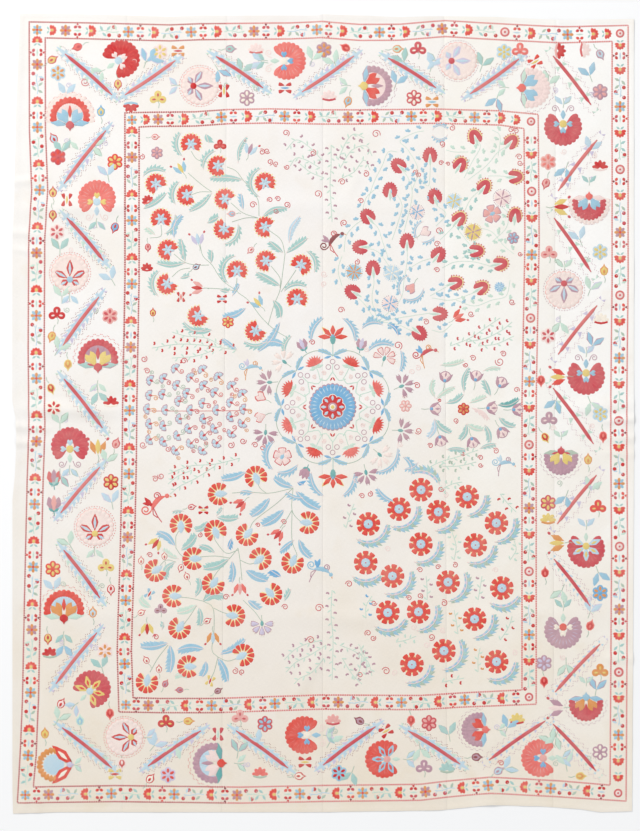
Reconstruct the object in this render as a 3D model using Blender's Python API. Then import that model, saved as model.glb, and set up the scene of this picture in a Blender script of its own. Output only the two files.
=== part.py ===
"""A large embroidered suzani, laid out flat, face up, on a floor.

Six loom-width strips of cream cotton are sewn side by side. Each strip is one closed
solid with the cloth's uneven outline, its soft fold lines and the puckers in its margins.
Metres, +Z up. The cloth is longest along Y and its underside rests at z = 0.
"""

import math
from collections import namedtuple

import bmesh
import bpy
import numpy as np

# Driving dimensions
HALF_WIDTH = 1.010
HALF_LENGTH = 1.300
THICKNESS = 0.0020
SEAM_GAP = 0.0003

# Cells of each strip's grid
ROW_PITCH = 0.060
LEAST_ROW = 0.012
OUTER_COLUMNS = (0.0, 0.07, 0.15, 0.25, 0.38, 0.54, 0.76, 1.0)
INNER_COLUMNS = (0.0, 0.2, 0.4, 0.6, 0.8, 1.0)

# How far in from the top and bottom edges their waviness dies away
EDGE_BLEND = 0.22

# The cloth's outline. Top and bottom edges: x, then how far the edge lies inside
# HALF_LENGTH there.
TOP_EDGE = (
    (-0.985, 0.000),
    (-0.757, 0.003),
    (-0.497, 0.011),
    (-0.400, 0.007),
    (-0.016, 0.007),
    (0.000, 0.003),
    (0.153, 0.008),
    (0.250, 0.012),
    (0.396, 0.009),
    (0.575, 0.012),
    (0.770, 0.022),
    (1.010, 0.018),
)
BOTTOM_EDGE = (
    (-1.008, 0.000),
    (-0.855, 0.005),
    (-0.010, 0.005),
    (0.380, 0.011),
    (0.543, 0.028),
    (0.705, 0.024),
    (0.835, 0.015),
    (0.900, 0.005),
    (1.004, 0.008),
)

# Left and right edges: y, then how far the edge lies inside HALF_WIDTH there.
LEFT_EDGE = (
    (-1.300, 0.003),
    (-1.224, 0.001),
    (-0.281, 0.001),
    (-0.200, 0.009),
    (-0.086, 0.014),
    (-0.015, 0.011),
    (0.044, 0.000),
    (0.564, 0.001),
    (0.694, 0.007),
    (0.970, 0.012),
    (1.198, 0.022),
    (1.300, 0.025),
)
RIGHT_EDGE = (
    (-1.300, 0.006),
    (-0.216, 0.000),
    (1.300, 0.000),
)

# Seams between the strips: x at the bottom edge, x at the top edge.
SEAMS = (
    (-0.653, -0.637),
    (-0.330, -0.312),
    (-0.002, 0.000),
    (0.403, 0.393),
    (0.747, 0.757),
)

# Cream of each strip, from left to right: red, green, blue.
CREAMS = (
    (0.83, 0.80, 0.72),
    (0.86, 0.82, 0.73),
    (0.88, 0.84, 0.76),
    (0.87, 0.83, 0.74),
    (0.88, 0.83, 0.75),
    (0.84, 0.81, 0.73),
)

# Soft ridges where the cloth was folded or is puckered: the middle, the direction in
# degrees from +X, the length, the half width of the crest and the height.
Ridge = namedtuple("Ridge", "x y slant length half_width height")
RIDGES = (
    Ridge(-0.780, 0.668, 1.5, 0.560, 0.026, 0.0055),
    Ridge(-0.050, 0.676, -0.5, 1.000, 0.034, 0.0030),
    Ridge(0.720, 0.668, 1.0, 0.640, 0.030, 0.0035),
    Ridge(-0.830, 0.012, -2.0, 0.440, 0.024, 0.0075),
    Ridge(-0.150, 0.010, 0.5, 1.040, 0.032, 0.0038),
    Ridge(0.560, 0.018, 0.0, 0.560, 0.030, 0.0030),
    Ridge(0.900, 0.022, 4.0, 0.300, 0.022, 0.0065),
    Ridge(-0.560, -0.655, 1.0, 0.820, 0.034, 0.0032),
    Ridge(0.120, -0.664, -1.5, 0.640, 0.030, 0.0045),
    Ridge(0.700, -0.656, 0.5, 0.660, 0.034, 0.0035),
    Ridge(-0.960, 0.757, 6.0, 0.190, 0.014, 0.0035),
    Ridge(-0.965, 0.585, -5.0, 0.170, 0.014, 0.0040),
    Ridge(-0.960, 0.528, -8.0, 0.150, 0.012, 0.0030),
    Ridge(-0.960, -0.044, -6.0, 0.200, 0.014, 0.0045),
    Ridge(-0.965, -0.096, -3.0, 0.170, 0.014, 0.0045),
    Ridge(0.965, -0.020, 3.0, 0.200, 0.014, 0.0060),
    Ridge(0.970, -0.078, -2.0, 0.170, 0.014, 0.0045),
    Ridge(0.968, -0.130, -6.0, 0.160, 0.014, 0.0035),
    Ridge(0.968, -0.795, -4.0, 0.180, 0.016, 0.0040),
    Ridge(-0.045, -0.845, 57.0, 0.240, 0.020, 0.0040),
    Ridge(0.060, -0.760, -68.0, 0.220, 0.024, 0.0030),
    Ridge(0.095, 0.740, 64.0, 0.120, 0.018, 0.0025),
    Ridge(-0.920, -1.255, 78.0, 0.130, 0.014, 0.0040),
    Ridge(-0.965, -1.262, 66.0, 0.110, 0.013, 0.0035),
    Ridge(0.543, -1.235, 94.0, 0.160, 0.030, 0.0050),
    Ridge(0.000, 1.262, 90.0, 0.120, 0.020, 0.0035),
    Ridge(0.760, 1.245, 86.0, 0.130, 0.026, 0.0040),
)

# Where a ridge's two ends die away, as a share of its length, and the height below which
# the cloth lies flat on the floor.
END_SHARE = 0.35
FLAT_BELOW = 0.0002

# Row stations over a ridge, as multiples of its half width
WIDE_RIDGE = 0.020
WIDE_STATIONS = (-1.8, -0.8, 0.0, 0.8, 1.8)
NARROW_STATIONS = (-1.6, 0.0, 1.6)
MOST_SLANT = 20.0

# Edges that turn more than this stay sharp, in degrees
SHARP_TURN = 40.0


def clear_scene():
    for item in list(bpy.data.objects):
        bpy.data.objects.remove(item, do_unlink=True)


def along_table(table, place):
    """The second column of a table, read between its rows at a place in the first."""
    places = [row[0] for row in table]
    values = [row[1] for row in table]
    return float(np.interp(place, places, values))


def smooth_step(value):
    value = min(max(value, 0.0), 1.0)
    return value * value * (3.0 - 2.0 * value)


def ridge_height(ridge, x, y):
    """How far one ridge lifts the cloth at a point."""
    turn = math.radians(ridge.slant)
    run = (x - ridge.x) * math.cos(turn) + (y - ridge.y) * math.sin(turn)
    across = (y - ridge.y) * math.cos(turn) - (x - ridge.x) * math.sin(turn)
    to_end = ridge.length / 2.0 - abs(run)
    fade = smooth_step(to_end / (ridge.length * END_SHARE))
    return ridge.height * fade * math.exp(-((across / ridge.half_width) ** 2))


def underside(x, y):
    """Height of the cloth's underside: 0 where it lies on the floor."""
    lift = sum(ridge_height(ridge, x, y) for ridge in RIDGES)
    return max(0.0, lift - FLAT_BELOW)


def edged_y(x, y):
    """Draws a row of the grid in to the wavy top or bottom edge where it lies near one."""
    if y > 0.0:
        near = smooth_step(1.0 - (HALF_LENGTH - y) / EDGE_BLEND)
        return y - near * along_table(TOP_EDGE, x)
    near = smooth_step(1.0 - (HALF_LENGTH + y) / EDGE_BLEND)
    return y + near * along_table(BOTTOM_EDGE, x)


def seam_x(seam, y):
    """Where a seam runs at a height y of the cloth."""
    low, high = seam
    share = (y + HALF_LENGTH) / (2.0 * HALF_LENGTH)
    return low + (high - low) * share


def strip_sides(number, y):
    """The left and right sides of a strip at y, with half the seam gap taken off each."""
    if number == 0:
        left = -HALF_WIDTH + along_table(LEFT_EDGE, y)
    else:
        left = seam_x(SEAMS[number - 1], y) + SEAM_GAP / 2.0
    if number == len(SEAMS):
        right = HALF_WIDTH - along_table(RIGHT_EDGE, y)
    else:
        right = seam_x(SEAMS[number], y) - SEAM_GAP / 2.0
    return left, right


def row_stations(number):
    """Heights of the grid's rows: an even pitch, with more over the ridges it meets."""
    left, right = strip_sides(number, 0.0)
    wanted = []
    for ridge in RIDGES:
        half_run = ridge.length / 2.0
        crosses = ridge.x - half_run < right and ridge.x + half_run > left
        if not crosses or abs(ridge.slant) > MOST_SLANT:
            continue
        shares = WIDE_STATIONS if ridge.half_width > WIDE_RIDGE else NARROW_STATIONS
        for share in shares:
            wanted.append(ridge.y + share * ridge.half_width)
    count = round(2.0 * HALF_LENGTH / ROW_PITCH)
    for step in range(1, count):
        place = -HALF_LENGTH + step * 2.0 * HALF_LENGTH / count
        if all(abs(place - other) > ROW_PITCH / 2.0 for other in wanted):
            wanted.append(place)
    rows = [-HALF_LENGTH]
    for place in sorted(wanted):
        if place - rows[-1] > LEAST_ROW and HALF_LENGTH - place > LEAST_ROW:
            rows.append(place)
    rows.append(HALF_LENGTH)
    return rows


def column_shares(number):
    """Shares of a strip's width at which its columns stand, closest at the cloth's edge."""
    if number == 0:
        return OUTER_COLUMNS
    if number == len(SEAMS):
        return tuple(1.0 - share for share in reversed(OUTER_COLUMNS))
    return INNER_COLUMNS


def cream_material(name, colour):
    material = bpy.data.materials.new(name)
    material.use_nodes = True
    shader = material.node_tree.nodes["Principled BSDF"]
    shader.inputs["Base Color"].default_value = (*colour, 1.0)
    shader.inputs["Roughness"].default_value = 0.9
    shader.inputs["Metallic"].default_value = 0.0
    material.diffuse_color = (*colour, 1.0)
    return material


def shape_sheet(sheet, rows, columns, number):
    """Moves a unit grid's points to the strip's outline and on to its ridges."""
    for point in sheet.data.vertices:
        row = round((point.co.y + 0.5) * (len(rows) - 1))
        column = round((point.co.x + 0.5) * (len(columns) - 1))
        left, right = strip_sides(number, rows[row])
        x = left + (right - left) * columns[column]
        y = edged_y(x, rows[row])
        point.co = (x, y, underside(x, y))


def thicken(sheet):
    """Raises a copy of the sheet straight up, so that seam walls stay upright and apart."""
    mesh = bmesh.new()
    mesh.from_mesh(sheet.data)
    raised = bmesh.ops.extrude_face_region(mesh, geom=mesh.faces[:], use_keep_orig=True)
    points = [item for item in raised["geom"] if isinstance(item, bmesh.types.BMVert)]
    bmesh.ops.translate(mesh, verts=points, vec=(0.0, 0.0, THICKNESS))
    bmesh.ops.recalc_face_normals(mesh, faces=mesh.faces[:])
    mesh.to_mesh(sheet.data)
    mesh.free()


def make_strip(number, collection):
    rows = row_stations(number)
    columns = column_shares(number)
    bpy.ops.mesh.primitive_grid_add(
        x_subdivisions=len(columns) - 1,
        y_subdivisions=len(rows) - 1,
        size=1.0,
    )
    strip = bpy.context.active_object
    strip.name = f"strip_{number + 1}"
    strip.data.name = strip.name
    shape_sheet(strip, rows, columns, number)
    thicken(strip)
    strip.data.materials.append(cream_material(f"cream_{number + 1}", CREAMS[number]))
    strip.data.shade_smooth()
    strip.data.set_sharp_from_angle(angle=math.radians(SHARP_TURN))
    for other in list(strip.users_collection):
        other.objects.unlink(strip)
    collection.objects.link(strip)
    return strip


def main():
    clear_scene()
    collection = bpy.data.collections.new("suzani")
    bpy.context.scene.collection.children.link(collection)
    for number in range(len(SEAMS) + 1):
        make_strip(number, collection)


main()
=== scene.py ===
"""The looks of a large embroidered suzani that lies flat, face up, on a pale floor.

Six strips of hand-woven cotton carry silk embroidery: a central roundel, four corner
sprays, a border of big flowers between saw-edged leaves, and two narrow borders. The
pattern is placed as it would be drawn on the cloth before the stitching: in drawing units
of 3.25 mm, x to the right and y down, from a corner just outside the cloth. A heading is a
compass bearing on the drawing: 0 points up it, 90 to the right.
"""

import math
from collections import namedtuple

import bmesh
import bpy
import numpy as np
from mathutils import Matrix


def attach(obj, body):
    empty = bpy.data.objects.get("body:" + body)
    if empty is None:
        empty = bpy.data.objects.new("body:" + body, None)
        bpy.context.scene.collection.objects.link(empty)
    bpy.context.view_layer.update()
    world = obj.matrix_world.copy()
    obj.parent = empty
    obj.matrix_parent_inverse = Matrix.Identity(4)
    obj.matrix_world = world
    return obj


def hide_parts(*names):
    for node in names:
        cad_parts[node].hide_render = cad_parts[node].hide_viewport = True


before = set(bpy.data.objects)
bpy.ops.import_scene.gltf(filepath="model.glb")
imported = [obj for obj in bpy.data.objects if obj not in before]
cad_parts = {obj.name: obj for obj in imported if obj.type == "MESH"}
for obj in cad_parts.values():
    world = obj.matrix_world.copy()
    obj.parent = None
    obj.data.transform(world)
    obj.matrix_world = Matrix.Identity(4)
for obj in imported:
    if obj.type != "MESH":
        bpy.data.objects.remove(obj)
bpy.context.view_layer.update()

# Cloth, in metres, as in the solids
HALF_WIDTH = 1.010
HALF_LENGTH = 1.300
CLOTH_THICKNESS = 0.0014
EDGE_BLEND = 0.22
END_SHARE = 0.35
FLAT_BELOW = 0.0002
HEM_WIDTH = 0.012
HEM_LIFT = 0.0007
HEM_STEP = 0.002
SEAM_GAP = 0.0003
SEAM_DIP = 0.0006
SEAM_ROUNDING = 0.0020
CELL = 0.0120
STRIPS = 6
HEM_PLACES = [0.0, HEM_WIDTH * 0.5, HEM_WIDTH, HEM_WIDTH + HEM_STEP]
SEAM_PLACES = [0.0, 0.0008, SEAM_ROUNDING]

# Rows of the mesh lie closer over folds that run nearly along X, in degrees, and out to
# this many half widths from the crest, with this many rows in each half width
LEVEL_SLANT = 20.0
FOLD_REACH = 2.3
FOLD_ROWS = 3.0

# Edges sharper than these, in degrees, are drawn sharp
CLOTH_CREASE = 50.0
SILK_CREASE = 62.0

# The drawing
UNIT = 0.00325
MIDDLE_X = 323.0
MIDDLE_Y = 413.5

# Stitched patches, in metres
PATCH_ROOT = 0.0004
PATCH_RIM = 0.00030
PATCH_CROWN = 0.00055
LAYER = 0.00045
THREAD_PITCH = 0.0009

# The cloth's outline. Top and bottom edges: x, then how far the edge lies inside
# HALF_LENGTH there. Sides: y, then how far the edge lies inside HALF_WIDTH there.
TOP_EDGE = (
    (-0.985, 0.000), (-0.757, 0.003), (-0.497, 0.011), (-0.400, 0.007), (-0.016, 0.007), (0.000, 0.003),
    (0.153, 0.008), (0.250, 0.012), (0.396, 0.009), (0.575, 0.012), (0.770, 0.022), (1.010, 0.018),
)
BOTTOM_EDGE = (
    (-1.008, 0.000), (-0.855, 0.005), (-0.010, 0.005), (0.380, 0.011), (0.543, 0.028), (0.705, 0.024),
    (0.835, 0.015), (0.900, 0.005), (1.004, 0.008),
)
LEFT_EDGE = (
    (-1.300, 0.003), (-1.224, 0.001), (-0.281, 0.001), (-0.200, 0.009), (-0.086, 0.014), (-0.015, 0.011),
    (0.044, 0.000), (0.564, 0.001), (0.694, 0.007), (0.970, 0.012), (1.198, 0.022), (1.300, 0.025),
)
RIGHT_EDGE = ((-1.300, 0.006), (-0.216, 0.000), (1.300, 0.000))

# Seams between the strips: x at the bottom edge, x at the top edge.
SEAMS = ((-0.653, -0.637), (-0.330, -0.312), (-0.002, 0.000), (0.403, 0.393), (0.747, 0.757))

# Main folds and puckers, as in the solids
Ridge = namedtuple("Ridge", "x y slant length half_width height")
RIDGES = [
    Ridge(*row)
    for row in (
        (-0.780, 0.668, 1.5, 0.560, 0.026, 0.0055), (-0.050, 0.676, -0.5, 1.000, 0.034, 0.0030),
        (0.720, 0.668, 1.0, 0.640, 0.030, 0.0035), (-0.830, 0.012, -2.0, 0.440, 0.024, 0.0075),
        (-0.150, 0.010, 0.5, 1.040, 0.032, 0.0038), (0.560, 0.018, 0.0, 0.560, 0.030, 0.0030),
        (0.900, 0.022, 4.0, 0.300, 0.022, 0.0065), (-0.560, -0.655, 1.0, 0.820, 0.034, 0.0032),
        (0.120, -0.664, -1.5, 0.640, 0.030, 0.0045), (0.700, -0.656, 0.5, 0.660, 0.034, 0.0035),
        (-0.960, 0.757, 6.0, 0.190, 0.014, 0.0035), (-0.965, 0.585, -5.0, 0.170, 0.014, 0.0040),
        (-0.960, 0.528, -8.0, 0.150, 0.012, 0.0030), (-0.960, -0.044, -6.0, 0.200, 0.014, 0.0045),
        (-0.965, -0.096, -3.0, 0.170, 0.014, 0.0045), (0.965, -0.020, 3.0, 0.200, 0.014, 0.0060),
        (0.970, -0.078, -2.0, 0.170, 0.014, 0.0045), (0.968, -0.130, -6.0, 0.160, 0.014, 0.0035),
        (0.968, -0.795, -4.0, 0.180, 0.016, 0.0040), (-0.045, -0.845, 57.0, 0.240, 0.020, 0.0040),
        (0.060, -0.760, -68.0, 0.220, 0.024, 0.0030), (0.095, 0.740, 64.0, 0.120, 0.018, 0.0025),
        (-0.920, -1.255, 78.0, 0.130, 0.014, 0.0040), (-0.965, -1.262, 66.0, 0.110, 0.013, 0.0035),
        (0.543, -1.235, 94.0, 0.160, 0.030, 0.0050), (0.000, 1.262, 90.0, 0.120, 0.020, 0.0035),
        (0.760, 1.245, 86.0, 0.130, 0.026, 0.0040),
    )
]

# Slight waves that the stitching draws into the cloth
WAVE_COUNT = 14
WAVE_SHORTEST = 0.09
WAVE_LONGEST = 0.42
WAVE_HEIGHT = 0.00022
WAVE_SEED = 7

# Silk dyes: slot, then the colour in daylight as red, green and blue, each up to 255
DYES = {
    "deep_red": ("silk_red", 208, 33, 38),
    "scarlet": ("silk_red", 229, 70, 58),
    "coral": ("silk_red", 238, 114, 106),
    "crimson": ("silk_crimson", 210, 78, 88),
    "maroon": ("silk_dark", 138, 46, 58),
    "rose": ("silk_crimson", 220, 108, 108),
    "pink": ("silk_pink", 238, 172, 166),
    "pale_pink": ("silk_pink", 248, 224, 219),
    "blush": ("silk_pink", 250, 233, 226),
    "pale_blue": ("silk_blue", 194, 220, 234),
    "sky": ("silk_blue", 156, 201, 223),
    "blue": ("silk_blue", 118, 179, 220),
    "teal": ("silk_green", 168, 208, 203),
    "pale_green": ("silk_green", 204, 229, 214),
    "sage": ("silk_green", 178, 198, 180),
    "deep_teal": ("silk_green", 104, 176, 174),
    "mauve": ("silk_mauve", 190, 148, 164),
    "lilac": ("silk_mauve", 210, 202, 226),
    "yellow": ("silk_yellow", 235, 208, 120),
    "straw": ("silk_yellow", 244, 226, 164),
    "orange": ("silk_yellow", 228, 152, 84),
    "cream": ("cotton", 251, 241, 226),
}
# Cotton in daylight: the six strips from left to right, and the tone that it ages to, which is also mixed
# in toward the bottom of the cloth as painted shade
COTTON_TONES = (
    (244, 241, 238), (243, 239, 235), (243, 239, 236), (244, 240, 236), (247, 244, 239), (250, 248, 245),
)
AGED_AND_SHADED_COTTON = (229, 212, 184)
# Where silk has worn it is this share of the way to this tone
WORN_SILK = (250, 232, 214)
WORN_SHARE = 0.38


# The cloth's face


def along_table(table, places):
    return np.interp(places, [row[0] for row in table], [row[1] for row in table])


def smooth_step(values):
    values = np.clip(values, 0.0, 1.0)
    return values * values * (3.0 - 2.0 * values)


def folds(x, y):
    """Height of the cloth's underside over its main folds, as in the solids."""
    lift = np.zeros_like(x)
    for ridge in RIDGES:
        turn = math.radians(ridge.slant)
        run = (x - ridge.x) * math.cos(turn) + (y - ridge.y) * math.sin(turn)
        across = (y - ridge.y) * math.cos(turn) - (x - ridge.x) * math.sin(turn)
        fade = smooth_step((ridge.length / 2.0 - np.abs(run)) / (ridge.length * END_SHARE))
        lift += ridge.height * fade * np.exp(-((across / ridge.half_width) ** 2))
    return np.maximum(0.0, lift - FLAT_BELOW)


def make_waves():
    """Directions, lengths and starts of the slight waves."""
    chance = np.random.default_rng(WAVE_SEED)
    headings = chance.uniform(0.0, math.pi, WAVE_COUNT)
    lengths = np.geomspace(WAVE_SHORTEST, WAVE_LONGEST, WAVE_COUNT)
    starts = chance.uniform(0.0, 2.0 * math.pi, WAVE_COUNT)
    return list(zip(headings, lengths, starts, strict=True))


WAVES = make_waves()


def waves(x, y):
    lift = np.zeros_like(x)
    for heading, length, start in WAVES:
        run = x * math.cos(heading) + y * math.sin(heading)
        lift += WAVE_HEIGHT * np.sin(2.0 * math.pi * run / length + start)
    return np.maximum(lift, 0.0)


def edged_y(x, y):
    """Draws a row of the cloth in to the wavy top or bottom edge where it lies near one."""
    near_top = smooth_step(1.0 - (HALF_LENGTH - y) / EDGE_BLEND)
    near_bottom = smooth_step(1.0 - (HALF_LENGTH + y) / EDGE_BLEND)
    return y - near_top * along_table(TOP_EDGE, x) + near_bottom * along_table(BOTTOM_EDGE, x)


def hem(x, y):
    """Extra height where the cloth is turned under along its outline."""
    top = HALF_LENGTH - along_table(TOP_EDGE, x) - y
    bottom = y + HALF_LENGTH - along_table(BOTTOM_EDGE, x)
    left = x + HALF_WIDTH - along_table(LEFT_EDGE, y)
    right = HALF_WIDTH - along_table(RIGHT_EDGE, y) - x
    inside = np.minimum(np.minimum(top, bottom), np.minimum(left, right))
    return HEM_LIFT * smooth_step((HEM_WIDTH + HEM_STEP / 2.0 - inside) / HEM_STEP)


def face(x, y):
    """Height of the cloth's embroidered face."""
    return folds(x, y) + waves(x, y) + CLOTH_THICKNESS


def seam_x(seam, y):
    low, high = seam
    return low + (high - low) * (y + HALF_LENGTH) / (2.0 * HALF_LENGTH)


def seam_dip(x, y):
    """How far the cloth turns down beside a seam."""
    away = np.full_like(x, 1.0)
    for seam in SEAMS:
        away = np.minimum(away, np.abs(x - seam_x(seam, y)))
    return SEAM_DIP * (1.0 - smooth_step(away / SEAM_ROUNDING))


def row_stations():
    """Rows of the cloth's mesh: an even pitch, closer over the folds that lie along X."""
    rows = [place - HALF_LENGTH for place in HEM_PLACES]
    while rows[-1] < HALF_LENGTH - HEM_PLACES[-1] - CELL:
        step = CELL
        for ridge in RIDGES:
            if abs(ridge.slant) < LEVEL_SLANT and abs(rows[-1] - ridge.y) < FOLD_REACH * ridge.half_width:
                step = min(step, ridge.half_width / FOLD_ROWS)
        rows.append(rows[-1] + step)
    return np.array(rows + [HALF_LENGTH - place for place in reversed(HEM_PLACES)])


def column_shares(number, width):
    """Columns of a strip's mesh, as shares of its width, closer at a hem or a seam."""
    left = HEM_PLACES if number == 0 else SEAM_PLACES
    right = HEM_PLACES if number == STRIPS - 1 else SEAM_PLACES
    inner = width - left[-1] - right[-1]
    cells = round(inner / CELL)
    middle = [left[-1] + inner * step / cells for step in range(1, cells)]
    return np.array(left + middle + [width - place for place in reversed(right)]) / width


def strip_sides(number, y):
    """X of a strip's left and right side: the cloth's edge, or a seam less half its gap."""
    left = along_table(LEFT_EDGE, y) - HALF_WIDTH
    right = HALF_WIDTH - along_table(RIGHT_EDGE, y)
    if number:
        left = seam_x(SEAMS[number - 1], y) + SEAM_GAP / 2.0
    if number < STRIPS - 1:
        right = seam_x(SEAMS[number], y) - SEAM_GAP / 2.0
    return left, right


# Materials


def linear(value):
    value = value / 255.0
    return value / 12.92 if value <= 0.04045 else ((value + 0.055) / 1.055) ** 2.4


def daylight(colour):
    """A colour as it looks in daylight, as linear red, green, blue and alpha."""
    return (*(linear(value) for value in colour), 1.0)


def fill(node, **values):
    """Sets inputs of a node, named with a low line for each space."""
    for name, value in values.items():
        node.inputs[name.replace("_", " ")].default_value = value


def put(tree, kind, **settings):
    """Adds a node, sets its properties and leaves its inputs for the caller."""
    node = tree.nodes.new(kind)
    for name, value in settings.items():
        setattr(node, name, value)
    return node


def new_group(name, inputs, outputs):
    """A shader node group with named inputs (name, kind, value) and outputs (name, kind)."""
    group = bpy.data.node_groups.new(name, "ShaderNodeTree")
    for title, kind, value in inputs:
        socket = group.interface.new_socket(title, in_out="INPUT", socket_type=kind)
        if value is not None:
            socket.default_value = value
    for title, kind in outputs:
        group.interface.new_socket(title, in_out="OUTPUT", socket_type=kind)
    return group, group.nodes.new("NodeGroupInput"), group.nodes.new("NodeGroupOutput")


def noise(tree, vector, scale, detail, roughness=0.5):
    node = put(tree, "ShaderNodeTexNoise")
    fill(node, Scale=scale, Detail=detail, Roughness=roughness)
    tree.links.new(vector, node.inputs["Vector"])
    return node.outputs["Fac"]


def to_range(tree, value, low, high, new_low, new_high):
    node = put(tree, "ShaderNodeMapRange")
    fill(node, From_Min=low, From_Max=high, To_Min=new_low, To_Max=new_high)
    tree.links.new(value, node.inputs["Value"])
    return node.outputs["Result"]


def feed(tree, socket, value):
    """Links an input to another node's output, or sets it to a plain value."""
    if isinstance(value, bpy.types.NodeSocket):
        tree.links.new(value, socket)
    else:
        socket.default_value = value


def mix(tree, share, first, second, blend="MIX"):
    """Mixes two colours, each a socket or a plain colour, by a socket or a number."""
    node = put(tree, "ShaderNodeMix", data_type="RGBA", blend_type=blend)
    for name, value in (("Factor", share), ("A", first), ("B", second)):
        feed(tree, next(s for s in node.inputs if s.name == name and s.enabled), value)
    return next(s for s in node.outputs if s.enabled)


def shaded(tree, tone, amount):
    """A colour times a plain amount."""
    grey = put(tree, "ShaderNodeCombineColor")
    for name in ("Red", "Green", "Blue"):
        tree.links.new(amount, grey.inputs[name])
    return mix(tree, 1.0, tone, grey.outputs["Color"], "MULTIPLY")


def sums(tree, operation, first, second):
    node = put(tree, "ShaderNodeMath", operation=operation)
    feed(tree, node.inputs[0], first)
    feed(tree, node.inputs[1], second)
    return node.outputs[0]


# What both groups hand on to a material's shader
LOOKS = (("Color", "NodeSocketColor"), ("Roughness", "NodeSocketFloat"), ("Height", "NodeSocketFloat"))
# Width of one band of a wave texture at scale 1
BAND = 0.3142
YARN_PITCH = 0.0011
COUCHING_PITCH = 0.0042


def make_weave_group():
    """Plain hand weave: warp and weft ridges, slubs, clouds and stains of age, and painted shade that makes
    the cloth darker and beiger toward the bottom.
    """
    group, given, result = new_group(
        "hand weave",
        (
            ("Cream", "NodeSocketColor", (0.9, 0.87, 0.8, 1.0)),
            ("Aged and shaded", "NodeSocketColor", (0.8, 0.72, 0.58, 1.0)),
            ("Place", "NodeSocketVector", None),
        ),
        LOOKS,
    )
    place = given.outputs["Place"]
    ridges = []
    for direction in ("X", "Y"):
        thread = put(group, "ShaderNodeTexWave", wave_type="BANDS", bands_direction=direction)
        fill(thread, Scale=BAND / YARN_PITCH, Distortion=2.2, Detail=1.0, Detail_Scale=0.35)
        group.links.new(place, thread.inputs["Vector"])
        ridges.append(thread.outputs["Fac"])
    weave = sums(group, "MULTIPLY", ridges[0], ridges[1])
    slubs = []
    for stretch in ((90.0, 900.0, 1.0), (900.0, 110.0, 1.0)):
        mapping = put(group, "ShaderNodeMapping")
        fill(mapping, Scale=stretch)
        group.links.new(place, mapping.inputs["Vector"])
        slubs.append(noise(group, mapping.outputs["Vector"], 1.0, 1.0))
    slub = sums(group, "ADD", slubs[0], slubs[1])
    slub = to_range(group, slub, 0.75, 1.35, 0.0, 1.0)
    height = sums(group, "ADD", sums(group, "MULTIPLY", weave, 0.45), sums(group, "MULTIPLY", slub, 0.55))
    cloudy = noise(group, place, 3.2, 4.0, 0.6)
    stains = noise(group, place, 9.0, 3.0, 0.55)
    age_and_shade = sums(
        group,
        "ADD",
        to_range(group, cloudy, 0.42, 0.72, 0.0, 0.22),
        to_range(group, stains, 0.60, 0.78, 0.0, 0.20),
    )
    parts = put(group, "ShaderNodeSeparateXYZ")
    group.links.new(place, parts.inputs["Vector"])
    # Painted shade: toward the bottom the cloth turns darker and beiger, partly from its own ageing and
    # partly standing in for the weaker light there
    age_and_shade = sums(group, "ADD", age_and_shade, to_range(group, parts.outputs["Y"], 0.1, -1.25, 0.0, 0.46))
    tone = mix(group, age_and_shade, given.outputs["Cream"], given.outputs["Aged and shaded"])
    streak = to_range(group, slub, 0.0, 1.0, 0.955, 1.02)
    group.links.new(shaded(group, tone, streak), result.inputs["Color"])
    group.links.new(to_range(group, slub, 0.0, 1.0, 0.84, 0.95), result.inputs["Roughness"])
    group.links.new(height, result.inputs["Height"])
    return group


def make_silk_group():
    """Laid silk: threads side by side, couched across, in skeins that differ a little, with painted shade
    in the grooves between the threads.
    """
    group, given, result = new_group(
        "laid silk",
        (
            ("Dye", "NodeSocketColor", (0.8, 0.2, 0.15, 1.0)),
            ("Faded", "NodeSocketColor", (0.9, 0.5, 0.45, 1.0)),
            ("Threads", "NodeSocketVector", None),
            ("Place", "NodeSocketVector", None),
        ),
        LOOKS,
    )
    threads = put(group, "ShaderNodeTexWave", wave_type="BANDS", bands_direction="X")
    fill(threads, Scale=BAND / THREAD_PITCH, Distortion=1.2, Detail_Scale=0.5)
    group.links.new(given.outputs["Threads"], threads.inputs["Vector"])
    couching = put(group, "ShaderNodeTexBrick")
    fill(couching, Scale=1.0 / COUCHING_PITCH, Mortar_Size=0.09, Mortar_Smooth=0.7)
    fill(couching, Brick_Width=0.55, Row_Height=0.75)
    group.links.new(given.outputs["Threads"], couching.inputs["Vector"])
    held = couching.outputs["Fac"]
    height = sums(group, "SUBTRACT", threads.outputs["Fac"], sums(group, "MULTIPLY", held, 0.5))
    skein = noise(group, given.outputs["Place"], 26.0, 2.0, 0.6)
    wear = noise(group, given.outputs["Place"], 5.0, 3.0, 0.6)
    streaks = noise(group, given.outputs["Threads"], 340.0, 1.0)
    share = sums(
        group,
        "ADD",
        to_range(group, skein, 0.35, 0.72, 0.0, 0.28),
        to_range(group, wear, 0.45, 0.75, 0.0, 0.30),
    )
    tone = mix(group, share, given.outputs["Dye"], given.outputs["Faded"])
    # Painted shade: the colour is darker in the grooves between the threads, where the bump is low, and it
    # is also streaked in tone at random along them
    shade = sums(
        group,
        "MULTIPLY",
        to_range(group, streaks, 0.3, 0.7, 0.93, 1.05),
        to_range(group, threads.outputs["Fac"], 0.0, 1.0, 0.90, 1.02),
    )
    group.links.new(shaded(group, tone, shade), result.inputs["Color"])
    group.links.new(to_range(group, streaks, 0.3, 0.7, 0.42, 0.60), result.inputs["Roughness"])
    group.links.new(height, result.inputs["Height"])
    return group


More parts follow.
